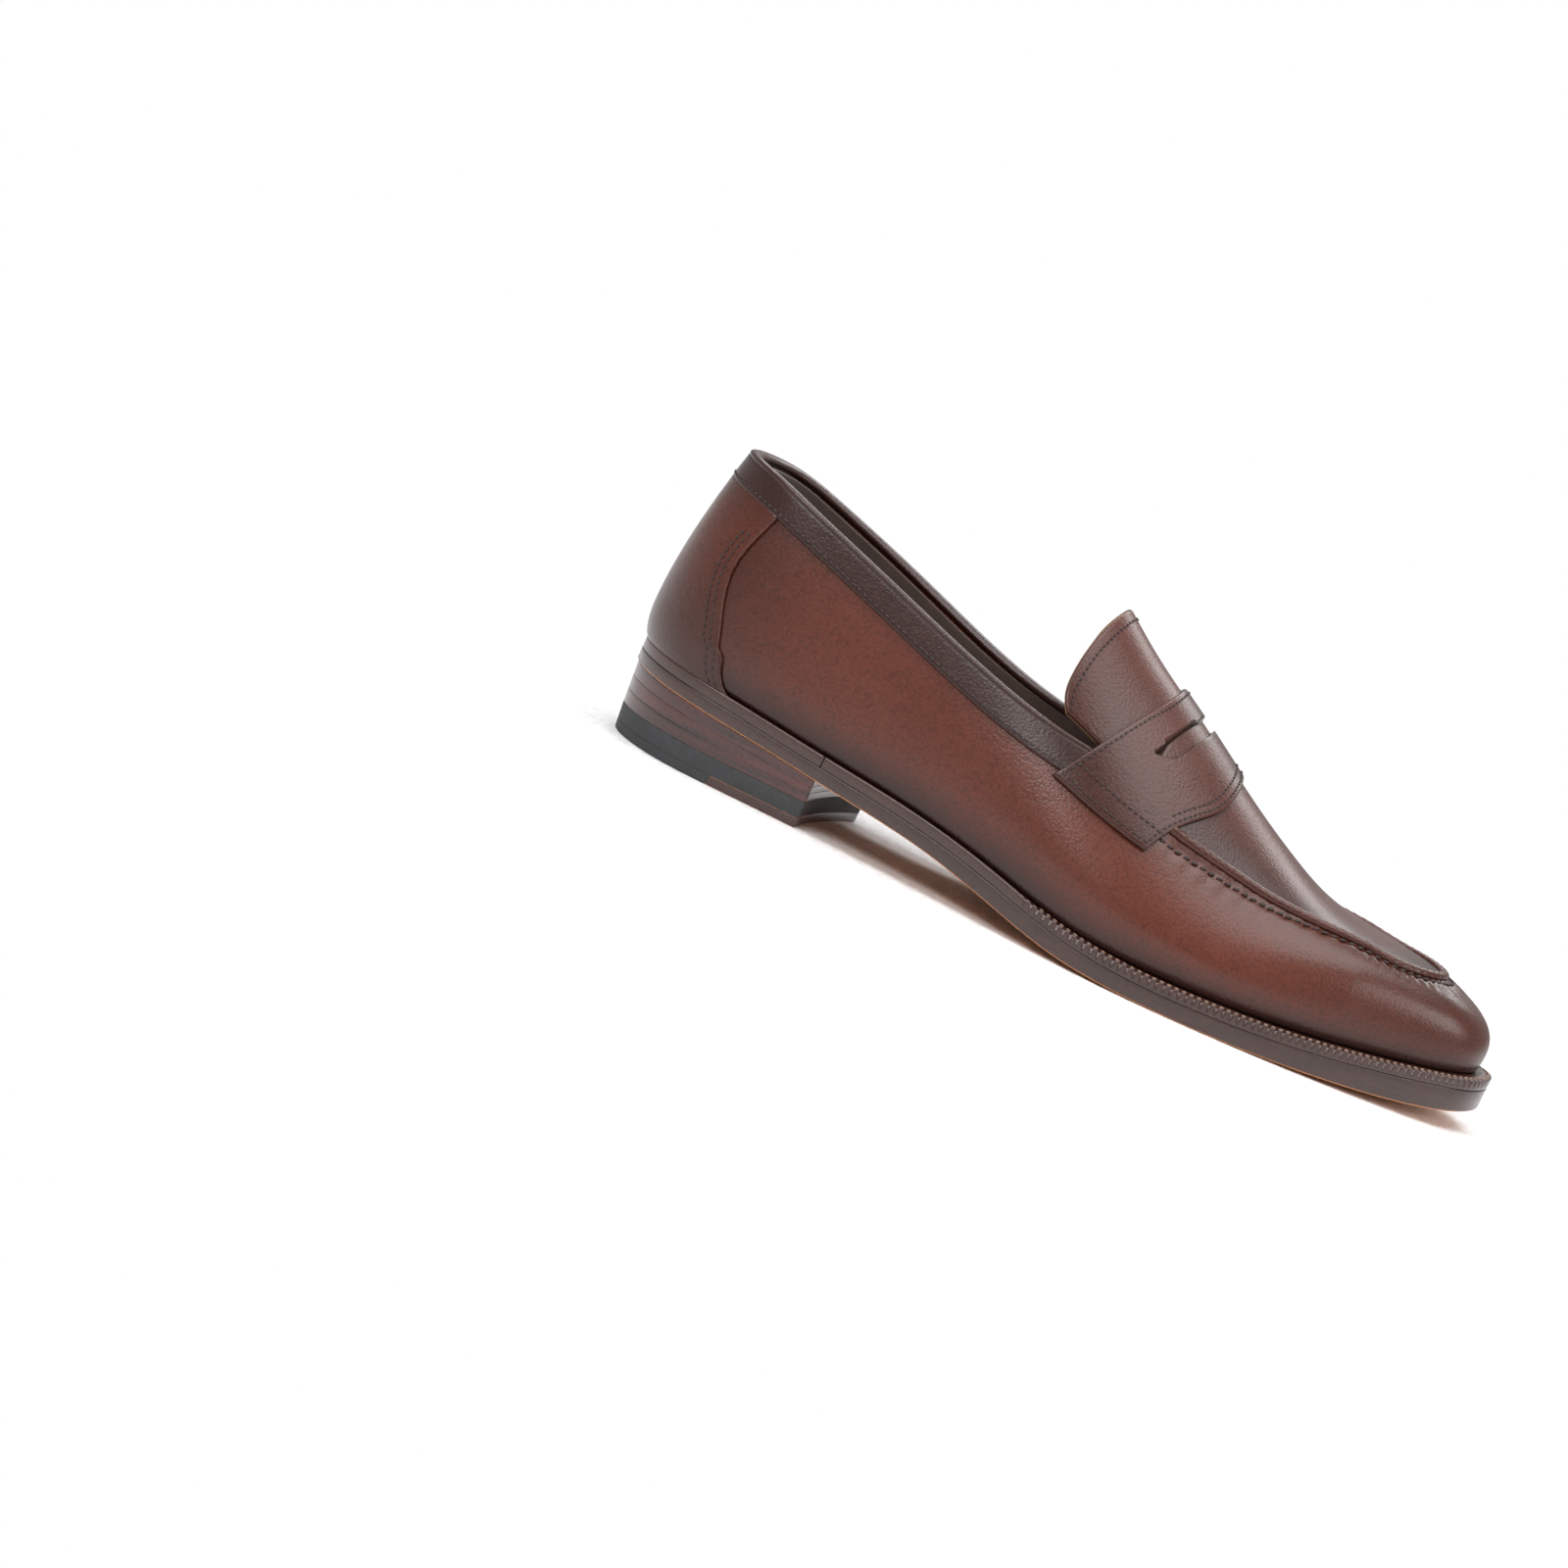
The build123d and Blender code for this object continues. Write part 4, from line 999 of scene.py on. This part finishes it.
# %% Insole
def plate(name, stations, radius, low, high, material, tone=0.5, round_off=0.6, rings=14):
    """Closed plate under the last: radius(s) gives the rim, low(x) and high(x) its faces."""
    x0, dx, dy = spoke(stations)
    reach = radius(stations)
    share = np.r_[np.linspace(0.0, 0.9, rings), 0.95, 0.98]
    rows = []

    def rim_at(distance, side, drop):
        x, y = x0 + distance * dx, SPINE_Y + distance * dy
        face = high(x) if side else low(x)
        return np.stack([x, y, face - drop if side else face + drop], -1)

    curl = round_off * (1 - np.cos(np.linspace(0, np.pi / 2, 5)))
    slide = round_off * (1 - np.sin(np.linspace(0, np.pi / 2, 5)))
    for d in share[:-1]:
        rows.append(rim_at(reach * d, True, 0))
    for out, drop in zip(slide, curl):
        rows.append(rim_at(reach - out, True, drop))
    for out, drop in zip(slide[::-1], curl[::-1]):
        rows.append(rim_at(reach - out, False, drop))
    for d in share[:-1][::-1]:
        rows.append(rim_at(reach * d, False, 0))
    points = np.array(rows)
    count, n = points.shape[:2]
    faces = []
    for i in range(count - 1):
        a, b = i * n + np.arange(n), (i + 1) * n + np.arange(n)
        faces += list(zip(a, b, np.roll(b, -1), np.roll(a, -1)))
    value = np.full(count * n, tone, float) if not callable(tone) else tone(points).ravel()
    piece = mesh_object(name, points.reshape(-1, 3), faces, material, value)
    fix_normals(piece)
    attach(piece, "shoe")
    return piece


around = np.linspace(0, 1, 721)[:-1]


def seat_radius(s):
    return edge_radius(s) - curve["inset"](s) - 3.6


feather, sole_face = curve["feather"], curve["sole"]
insole = plate("insole", around, seat_radius, lambda x: feather(x) + INSOLE_LOW,
               lambda x: feather(x) + INSOLE_HIGH, SOLE_LEATHER)
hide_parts("insole")


# %% [markdown]
# The bottom is built of layers. Each layer follows the outline of the sole at some inset, between
# two heights that vary along the shoe, so one routine draws them all from a list of rings.


# %% Layers of the bottom
def rings_object(name, rings, material, tone=0.5, wrap=True, caps=False, close=False):
    """Surface through rings of equal length. caps fills the first and the last ring."""
    points = np.array(rings)
    count, n = points.shape[:2]
    faces = []
    order = list(range(count)) + ([0] if close else [])
    for i, j in zip(order[:-1], order[1:]):
        a, b = i * n + np.arange(n), j * n + np.arange(n)
        if wrap:
            faces += list(zip(a, b, np.roll(b, -1), np.roll(a, -1)))
        else:
            faces += list(zip(a[:-1], b[:-1], b[1:], a[1:]))
    if caps:
        faces += [tuple(range(n)), tuple(range((count - 1) * n, count * n))]
    if close and not wrap:
        faces += [tuple(np.arange(count) * n), tuple(np.arange(count) * n + n - 1)]
    value = tone(points).ravel() if callable(tone) else np.full(count * n, float(tone))
    piece = mesh_object(name, points.reshape(-1, 3), faces, material, value)
    fix_normals(piece)
    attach(piece, "shoe")
    return piece


def ring_at(stations, inset, height):
    x0, dx, dy = spoke(stations)
    reach = edge_radius(stations) - inset
    x, y = x0 + reach * dx, SPINE_Y + reach * dy
    return np.stack([x, y, height(x) + 0 * x], -1)


def outline_walk(stations):
    x0, dx, dy = spoke(stations)
    line = np.stack([x0 + edge_radius(stations) * dx, SPINE_Y + edge_radius(stations) * dy], -1)
    return np.r_[0, np.cumsum(np.linalg.norm(np.diff(line, axis=0), axis=1))]


def breast_x(y):
    return -75 + 0.22 * (y - SPINE_Y) + 3.0 * ((y - SPINE_Y) / 38)**2


def breast_station(side, inset=0.0):
    """Station where the outline crosses the heel breast, on the lateral or the medial side."""
    x = -75.0
    for _ in range(30):
        s = station_of(x)
        x = float(breast_x(SPINE_Y - side * (edge_radius(s if side > 0 else 1 - s) - inset)))
    return float(station_of(x))


LATERAL_BREAST, MEDIAL_BREAST = breast_station(1), breast_station(-1)
CURL = np.linspace(0, np.pi / 2, 6)
AIR = 0.05
print("heel breast crosses the outline at stations:", round(LATERAL_BREAST, 4), round(1 - MEDIAL_BREAST, 4))

# %% [markdown]
# The welt is a strip sewn to the upper and stitched down to the outsole. A wheel is rolled over
# its stitches, which leaves small even ridges. Round the heel a plain rand takes its place.


# %% Welt and heel rand
def welt_top(x):
    return feather(x) - AIR


def welt_foot(x):
    return feather(x) - WELT


def border_ring(name, stations, notch, material, tone):
    """Welt or rand: the strip round the edge, from under the upper out to the outline."""
    hold = curve["inset"](stations) + MARGIN
    rings = [ring_at(stations, hold, welt_top)]
    for inset, dig in ((3.6, 0), (2.9, 0.1), (2.4, 0.45), (1.8, 0.7), (1.2, 0.8), (0.75, 0.85)):
        lift = notch * dig
        level = ring_at(stations, inset, welt_top)
        level[:, 2] -= lift
        rings.append(level)
    for a in CURL:
        level = ring_at(stations, 0.6 * (1 - np.sin(a)) + 0.55 * notch * np.cos(a), welt_top)
        level[:, 2] -= 0.6 * (1 - np.cos(a)) + 0.85 * notch * np.cos(a)
        rings.append(level)
    for a in CURL[::-1]:
        level = ring_at(stations, 0.35 * (1 - np.sin(a)), welt_foot)
        level[:, 2] += 0.35 * (1 - np.cos(a))
        rings.append(level)
    rings.append(ring_at(stations, hold, welt_foot))
    return rings_object(name, rings, material, tone, wrap=False, close=True)


def edge_tone(points):
    low = smooth(points[..., 2] - feather(points[..., 0]), -3.0, -0.3)
    return 0.35 + 0.35 * low


WELT_PITCH, WELT_STITCH_INSET, WELT_STITCH_FROM = 2.5, 1.25, -2.0
welt_s = np.linspace(LATERAL_BREAST, 1 - MEDIAL_BREAST, 2200)
walk = outline_walk(welt_s)
front_part = smooth(ring_at(welt_s, 0, feather)[:, 0], -12, 4)
wheel = front_part * (0.5 - 0.5 * np.cos(walk * 2 * np.pi / WELT_PITCH))**3
welt = border_ring("welt", welt_s, wheel, EDGE, edge_tone)
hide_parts("welt")
rand_s = np.linspace(-MEDIAL_BREAST + 0.0004, LATERAL_BREAST - 0.0004, 500)
rand = border_ring("heel_rand", rand_s, 0 * rand_s, EDGE, edge_tone)
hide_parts("heel_rand")
print("length of the welt, mm:", round(float(walk[-1]), 1))

# %% [markdown]
# The outsole is sewn to the welt with a thick waxed thread, about ten stitches to the inch. One
# stitch shape is set down again and again along the edge, square to it.

# %% Stitches of the welt
shape, quads = grain_shape(1.6, 0.8)
at = np.arange(0.0, walk[-1], WELT_PITCH)
places = ring_at(np.interp(at, walk, welt_s), WELT_STITCH_INSET, lambda x: feather(x) - 0.1)
ahead = np.gradient(places, axis=0)
ahead /= np.linalg.norm(ahead, axis=1, keepdims=True)
points, faces = [], []
for place, forward in zip(places, ahead):
    if place[0] < WELT_STITCH_FROM:
        continue
    up = np.array([0, 0, 1.0])
    aside = np.cross(up, forward)
    start = len(points)
    points += [place + forward * a + aside * b + up * c for a, b, c in shape]
    faces += [tuple(start + k for k in quad) for quad in quads]
# The pale welt stitches carry a painted glint.
welt_stitches = mesh_object("welt_thread", points, faces, THREAD_PAINTED_GLINT)
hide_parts("welt_thread")
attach(welt_stitches, "shoe")
print("welt stitches:", len(points) // len(shape))


# %% [markdown]
# The outsole is oak-bark leather. Its edge is trimmed round and inked, its face carries the line of
# the closed channel that hides the stitching, and the waist is stained darker by the iron.


# %% Outsole
def sole_tone(points):
    x, y, z = points[..., 0], points[..., 1], points[..., 2]
    under = 1 - smooth(z - curve["sole"](x), 0.4, 1.4)
    waist = 1 - 0.45 * smooth(x, -90, -40) * (1 - smooth(x, -20, 25))
    forepart = 1 - 0.2 * (1 - np.clip(np.hypot((x - 52) / 46, (y - 3) / 34), 0, 1))
    return np.clip((0.25 + 0.6 * under) * waist * forepart, 0, 1)


def sole_top(x):
    return feather(x) - WELT - AIR


rings = [ring_at(around, edge_radius(around) * share, sole_top) for share in (1.0, 0.6, 0.2)]
for a in CURL:
    level = ring_at(around, 0.4 * (1 - np.sin(a)), sole_top)
    level[:, 2] -= 0.4 * (1 - np.cos(a))
    rings.append(level)
for a in CURL[::-1]:
    level = ring_at(around, 0.9 * (1 - np.sin(a)), sole_face)
    level[:, 2] += 0.9 * (1 - np.cos(a))
    rings.append(level)
for inset, dig in ((3.0, 0), (4.3, 0), (4.6, 0.3), (4.9, 0), (7, 0)):
    level = ring_at(around, inset, sole_face)
    level[:, 2] += dig
    rings.append(level)
fine = np.array([0.22, 0.3, 0.4, 0.5, 0.6, 0.7, 0.8, 0.9, 1.0])
rings += [ring_at(around, np.maximum(edge_radius(around) * share, 7.5), sole_face) for share in fine]
outsole = rings_object("outsole", rings, SOLE_LEATHER, sole_tone)
outsole.data.materials.append(EDGE)
edge_faces = 0
for polygon in outsole.data.polygons:
    middle = polygon.center / MM
    above = middle.z - float(curve["sole"](middle.x))
    if above > 0.3:
        polygon.material_index = 1
        edge_faces += 1
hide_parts("outsole")
print("outsole faces, of them on the inked edge:", len(outsole.data.polygons), edge_faces)


# %% [markdown]
# The heel is a stack of lifts, then a rubber lift and a top piece, rubber at its worn rear corner.
# Each one leans in a little towards the ground, and its layers show on the polished side.


# %% Heel stack
def heel_loop(inset, level, count=240, across=40):
    """Plan loop of the heel at a height, pulled in by an inset."""
    lean = HEEL_PITCH * (1 - level / 26.0) + inset
    stations = np.linspace(-breast_station(-1, lean), breast_station(1, lean), count)
    rim = ring_at(stations, lean, lambda x: 0 * x)[:, :2]
    ys = np.linspace(rim[-1, 1], rim[0, 1], across + 2)[1:-1]
    front = np.stack([breast_x(ys) - inset, ys], -1)
    rim[:, 0] = np.minimum(rim[:, 0], breast_x(rim[:, 1]) - inset)
    return np.concatenate([rim, front])


def heel_layer(name, low, high, material, round_low=0.3, round_high=0.3):
    rings = []
    for face, turn, size in ((low, 1, round_low), (high, -1, round_high)):
        curl = CURL if turn > 0 else CURL[::-1]
        for a in curl:
            loop = heel_loop(size * (1 - np.sin(a)), float(face(-110.0)))
            z = face(loop[:, 0]) + turn * size * (1 - np.cos(a))
            rings.append(np.c_[loop, z])
    return rings_object(name, rings, material, caps=True)


LIFT_FLOOR = TOP_PIECE + RUBBER_LIFT


def lift_level(share):
    return lambda x: LIFT_FLOOR + (curve["sole"](x) - AIR - LIFT_FLOOR) * share + 0 * x


for k in range(3):
    lift = heel_layer(f"heel_lift_{k + 1}", lift_level(k / 3), lift_level((k + 1) / 3 - 0.004), HEEL_STACK,
                      0.12, 0.12)
    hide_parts(f"heel_lift_{k + 1}")
rubber_lift = heel_layer("rubber_lift", lambda x: TOP_PIECE + AIR + 0 * x,
                         lambda x: LIFT_FLOOR - AIR + 0 * x, RUBBER, 0.15, 0.2)
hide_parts("rubber_lift")
print("heel lifts start at, mm:", round(LIFT_FLOOR, 2))

# %% [markdown]
# The top piece is the layer that meets the ground. It is leather in front and rubber behind,
# where it wears, and the joint between the two runs slanted across the heel.


# %% Top piece
def half_space(name, angle, front):
    """Block behind or in front of the joint between the leather and the rubber of the top piece."""
    turn = math.radians(angle)
    ahead, aside = np.array([math.cos(turn), math.sin(turn)]), np.array([-math.sin(turn), math.cos(turn)])
    start, end = (0.03, 150) if front else (-150, -0.03)
    reach = ((start, -90), (end, -90), (end, 90), (start, 90))
    corners = [np.array([-118, SPINE_Y]) + ahead * a + aside * b for a, b in reach]
    points = [(*c, -5.0) for c in corners] + [(*c, 30.0) for c in corners]
    faces = [(3, 2, 1, 0), (4, 5, 6, 7), (0, 1, 5, 4), (1, 2, 6, 5), (2, 3, 7, 6), (3, 0, 4, 7)]
    return mesh_object(name, points, faces, RUBBER, smooth_faces=False)


for name, material, slot, front in (("top_piece_leather", SOLE_LEATHER, "sole_leather", True),
                                    ("top_piece_rubber", RUBBER, "rubber", False)):
    piece = heel_layer(name, lambda x: 0.06 + 0 * x, lambda x: TOP_PIECE + 0 * x, material, 0.3, 0.15)
    cut_through(piece, half_space("joint_block", 12.0, not front))
    if material is SOLE_LEATHER:
        piece.data.materials.append(EDGE)
        for polygon in piece.data.polygons:
            if abs(polygon.normal.z) < 0.6:
                polygon.material_index = 1
    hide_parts(name)

# %% [markdown]
# Brass nails hold the front of the top piece. They stand in a line along each side, and each
# is a shank with a slightly rounded head, filed level with the leather.


# %% Nails of the top piece
def nail_heads():
    lateral = [(x, -22.4) for x in (-104.7, -95.4, -85.9)]
    medial = [(x, min(31.5 + 5.0 * (x + 117) / 46, 36.0) - 1.5)
              for x in (-117, -108.7, -100.7, -89.9, -80.6, -70.8)]
    return lateral + medial


HEAD_SIDES = 20
turn = np.linspace(0, 2 * np.pi, HEAD_SIDES, endpoint=False)
points, faces = [], []
for x, y in nail_heads():
    start = len(points)
    levels = [(0.3, 0.0), (0.8, 0.0), (0.94, 0.03), (1.0, 0.12), (1.0, 8.4)]
    for radius, z in levels:
        points += [(x + radius * math.cos(a), y + radius * math.sin(a), z) for a in turn]
    for i in range(len(levels) - 1):
        a, b = start + i * HEAD_SIDES, start + (i + 1) * HEAD_SIDES
        for k in range(HEAD_SIDES):
            after = (k + 1) % HEAD_SIDES
            faces.append((a + k, a + after, b + after, b + k))
    faces += [tuple(start + k for k in range(HEAD_SIDES)), tuple(b + k for k in range(HEAD_SIDES))]
nails = mesh_object("heel_nails", points, faces, BRASS)
fix_normals(nails)
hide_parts("heel_nails")
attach(nails, "shoe")
print("nails:", len(nail_heads()))

# %% [markdown]
# A sock of lining calf covers the nails in the heel seat. It lies on the insole, follows its
# outline behind and ends in a round front.


# %% Heel sock
SOCK_FLOOR, SOCK_FACE = 7.0, 7.85


def sock_radius(s):
    """Reach of the sock: the insole's own outline behind, a round front."""
    x0, dx, _ = spoke(s)
    reach = edge_radius(s) - curve["inset"](s) - 7.5
    front = np.sqrt(np.clip(34.0**2 - np.maximum(x0 + 92, 0)**2, 1.0, None))
    return np.where(x0 > -92, np.minimum(reach, front), reach)


sock_s = np.linspace(-station_of(-58.5), station_of(-58.5), 300)
sock_rim = sock_radius(sock_s)
x0, dx, dy = spoke(sock_s)
sock_level = []
for share, height in ((0.0, SOCK_FLOOR), (0.5, SOCK_FLOOR), (0.97, SOCK_FLOOR), (1.0, 7.2), (1.0, 7.6),
                      (0.985, SOCK_FACE), (0.5, SOCK_FACE), (0.0, SOCK_FACE)):
    x, y = x0 + sock_rim * share * dx, SPINE_Y + sock_rim * share * dy
    sock_level.append(np.stack([x, y, feather(x) + height], -1))
sock = rings_object("heel_sock", sock_level, LINING_CALF, 0.4, wrap=True, close=True)
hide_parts("heel_sock")
print("sock faces:", len(sock.data.polygons))

# %% [markdown]
# Pieces hidden inside keep their plain shape. They are given their own material, so a cut-away
# view shows board, cork, canvas and steel.


# %% Hidden pieces
HIDDEN = {"heel_stiffener": BOARD, "toe_puff": BOARD, "insole_rib": CANVAS, "shank": STEEL,
          "cork_filler": CORK, "heel_seat_nails": STEEL}
for node, material in HIDDEN.items():
    low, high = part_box(node)
    piece = bpy.data.objects.get(node)
    if piece and piece.type == "MESH":
        for holder in piece.material_slots:
            holder.material = material
    print(node, "is", material.name, "and its length in mm is", round((high.x - low.x) / MM, 1))


# %% [markdown]
# The set is a pale floor under a white surround. Near the shoe the floor takes its shadow, and
# farther out it fades into plain white. The surround looks white from the camera, but it lights
# the shoe only dimly, so that the lamps can shape it.

# %% Floor and surround
floor_mesh = bpy.data.meshes.new("floor")
floor_mesh.from_pydata([(-9, -9, 0), (9, -9, 0), (9, 9, 0), (-9, 9, 0)], [], [(0, 1, 2, 3)])
floor = bpy.data.objects.new("floor", floor_mesh)
bpy.context.scene.collection.objects.link(floor)
paper = finish("paper", (0.90, 0.90, 0.90), (0.93, 0.93, 0.93), (0.7, 0.8), 500, 0.02, 3, 0.5, toned=False)
tree = paper.node_tree
spot = tree.nodes.new("ShaderNodeVectorMath")
spot.operation = "LENGTH"
tree.links.new(tree.nodes["Texture Coordinate"].outputs["Object"], spot.inputs[0])
fade = tree.nodes.new("ShaderNodeMapRange")
fade.interpolation_type = "SMOOTHSTEP"
fade.inputs["From Min"].default_value, fade.inputs["From Max"].default_value = 0.16, 0.62
tree.links.new(spot.outputs["Value"], fade.inputs["Value"])
glow = tree.nodes.new("ShaderNodeEmission")
glow.inputs["Strength"].default_value = 1.0
both = tree.nodes.new("ShaderNodeMixShader")
tree.links.new(fade.outputs["Result"], both.inputs[0])
tree.links.new(tree.nodes["Principled BSDF"].outputs[0], both.inputs[1])
tree.links.new(glow.outputs[0], both.inputs[2])
tree.links.new(both.outputs[0], tree.nodes["Material Output"].inputs["Surface"])
floor_mesh.materials.append(paper)

world = bpy.data.worlds.new("studio")
world.use_nodes = True
world.node_tree.nodes["Background"].inputs["Color"].default_value = (1.0, 1.0, 1.0, 1.0)
world.node_tree.nodes["Background"].inputs["Strength"].default_value = 0.38
bright = world.node_tree.nodes.new("ShaderNodeBackground")
seen = world.node_tree.nodes.new("ShaderNodeLightPath")
split = world.node_tree.nodes.new("ShaderNodeMixShader")
world.node_tree.links.new(seen.outputs["Is Camera Ray"], split.inputs[0])
world.node_tree.links.new(world.node_tree.nodes["Background"].outputs[0], split.inputs[1])
world.node_tree.links.new(bright.outputs[0], split.inputs[2])
world.node_tree.links.new(split.outputs[0], world.node_tree.nodes["World Output"].inputs["Surface"])
bright.inputs["Color"].default_value = (1.0, 1.0, 1.0, 1.0)
bpy.context.scene.view_settings.view_transform = "Standard"
bpy.context.scene.world = world
fade_ends = [round(fade.inputs[end].default_value, 2) for end in ("From Min", "From Max")]
print("floor fades to white between, m:", fade_ends)

# %% [markdown]
# A sun would give hard shadows, so four wide area lights are used: a large one above, a key from
# the front on the heel side, one beyond the toe, and one behind that draws the rim.


# %% Lights
def area_light(name, place, aim, size, power):
    light = bpy.data.lights.new(name, "AREA")
    light.shape, light.size, light.size_y, light.energy = "RECTANGLE", size[0], size[1], power
    lamp = bpy.data.objects.new(name, light)
    bpy.context.scene.collection.objects.link(lamp)
    lamp.location = place
    lamp.rotation_euler = (Vector(aim) - Vector(place)).to_track_quat("-Z", "Y").to_euler()


area_light("top_box", (0.0, -0.15, 1.2), (0, 0, 0.05), (1.5, 0.9), 16.0)
area_light("key", (-0.45, -0.85, 0.75), (0, 0, 0.06), (0.6, 0.35), 6.0)
area_light("toe_light", (0.9, -0.35, 0.5), (0.08, 0, 0.04), (0.5, 0.4), 3.0)
area_light("rim", (0.1, 0.8, 0.7), (0, 0, 0.06), (1.0, 0.3), 4.0)
print("lights:", len(bpy.data.lights))

# %% [markdown]
# The camera stands on the lateral side, a little above the shoe, with a long lens and rolled so
# that the shoe lies slanted. It looks past the shoe by two small slopes, sideways and up.

# %% Camera
ELEVATION, ROLL, DISTANCE = math.radians(7.2), math.radians(25.4), 1500.0
SENSOR, LENS, AIM = 36.0, 109.45125, Vector((0, 0, 45))
SLOPE_RIGHT, SLOPE_UP = 0.0650632131, -0.0029602220
back = Vector((0, -math.cos(ELEVATION), math.sin(ELEVATION)))
right = Vector((1, 0, 0))
up = Vector((0, math.sin(ELEVATION), math.cos(ELEVATION)))
across_picture = right * math.cos(ROLL) + up * math.sin(ROLL)
up_picture = -right * math.sin(ROLL) + up * math.cos(ROLL)
level = Matrix((across_picture, up_picture, back)).transposed()
sight = Vector((SLOPE_RIGHT, SLOPE_UP, -1)).normalized()
facing = level @ sight.rotation_difference(Vector((0, 0, -1))).to_matrix()
lens = bpy.data.cameras.new("camera")
lens.sensor_width, lens.lens, lens.clip_end = SENSOR, LENS, 100.0
camera = bpy.data.objects.new("camera", lens)
bpy.context.scene.collection.objects.link(camera)
camera.matrix_world = Matrix.Translation((AIM + back * DISTANCE) * MM) @ facing.to_4x4()
bpy.context.scene.camera = camera
print("lens, mm:", round(lens.lens, 1))
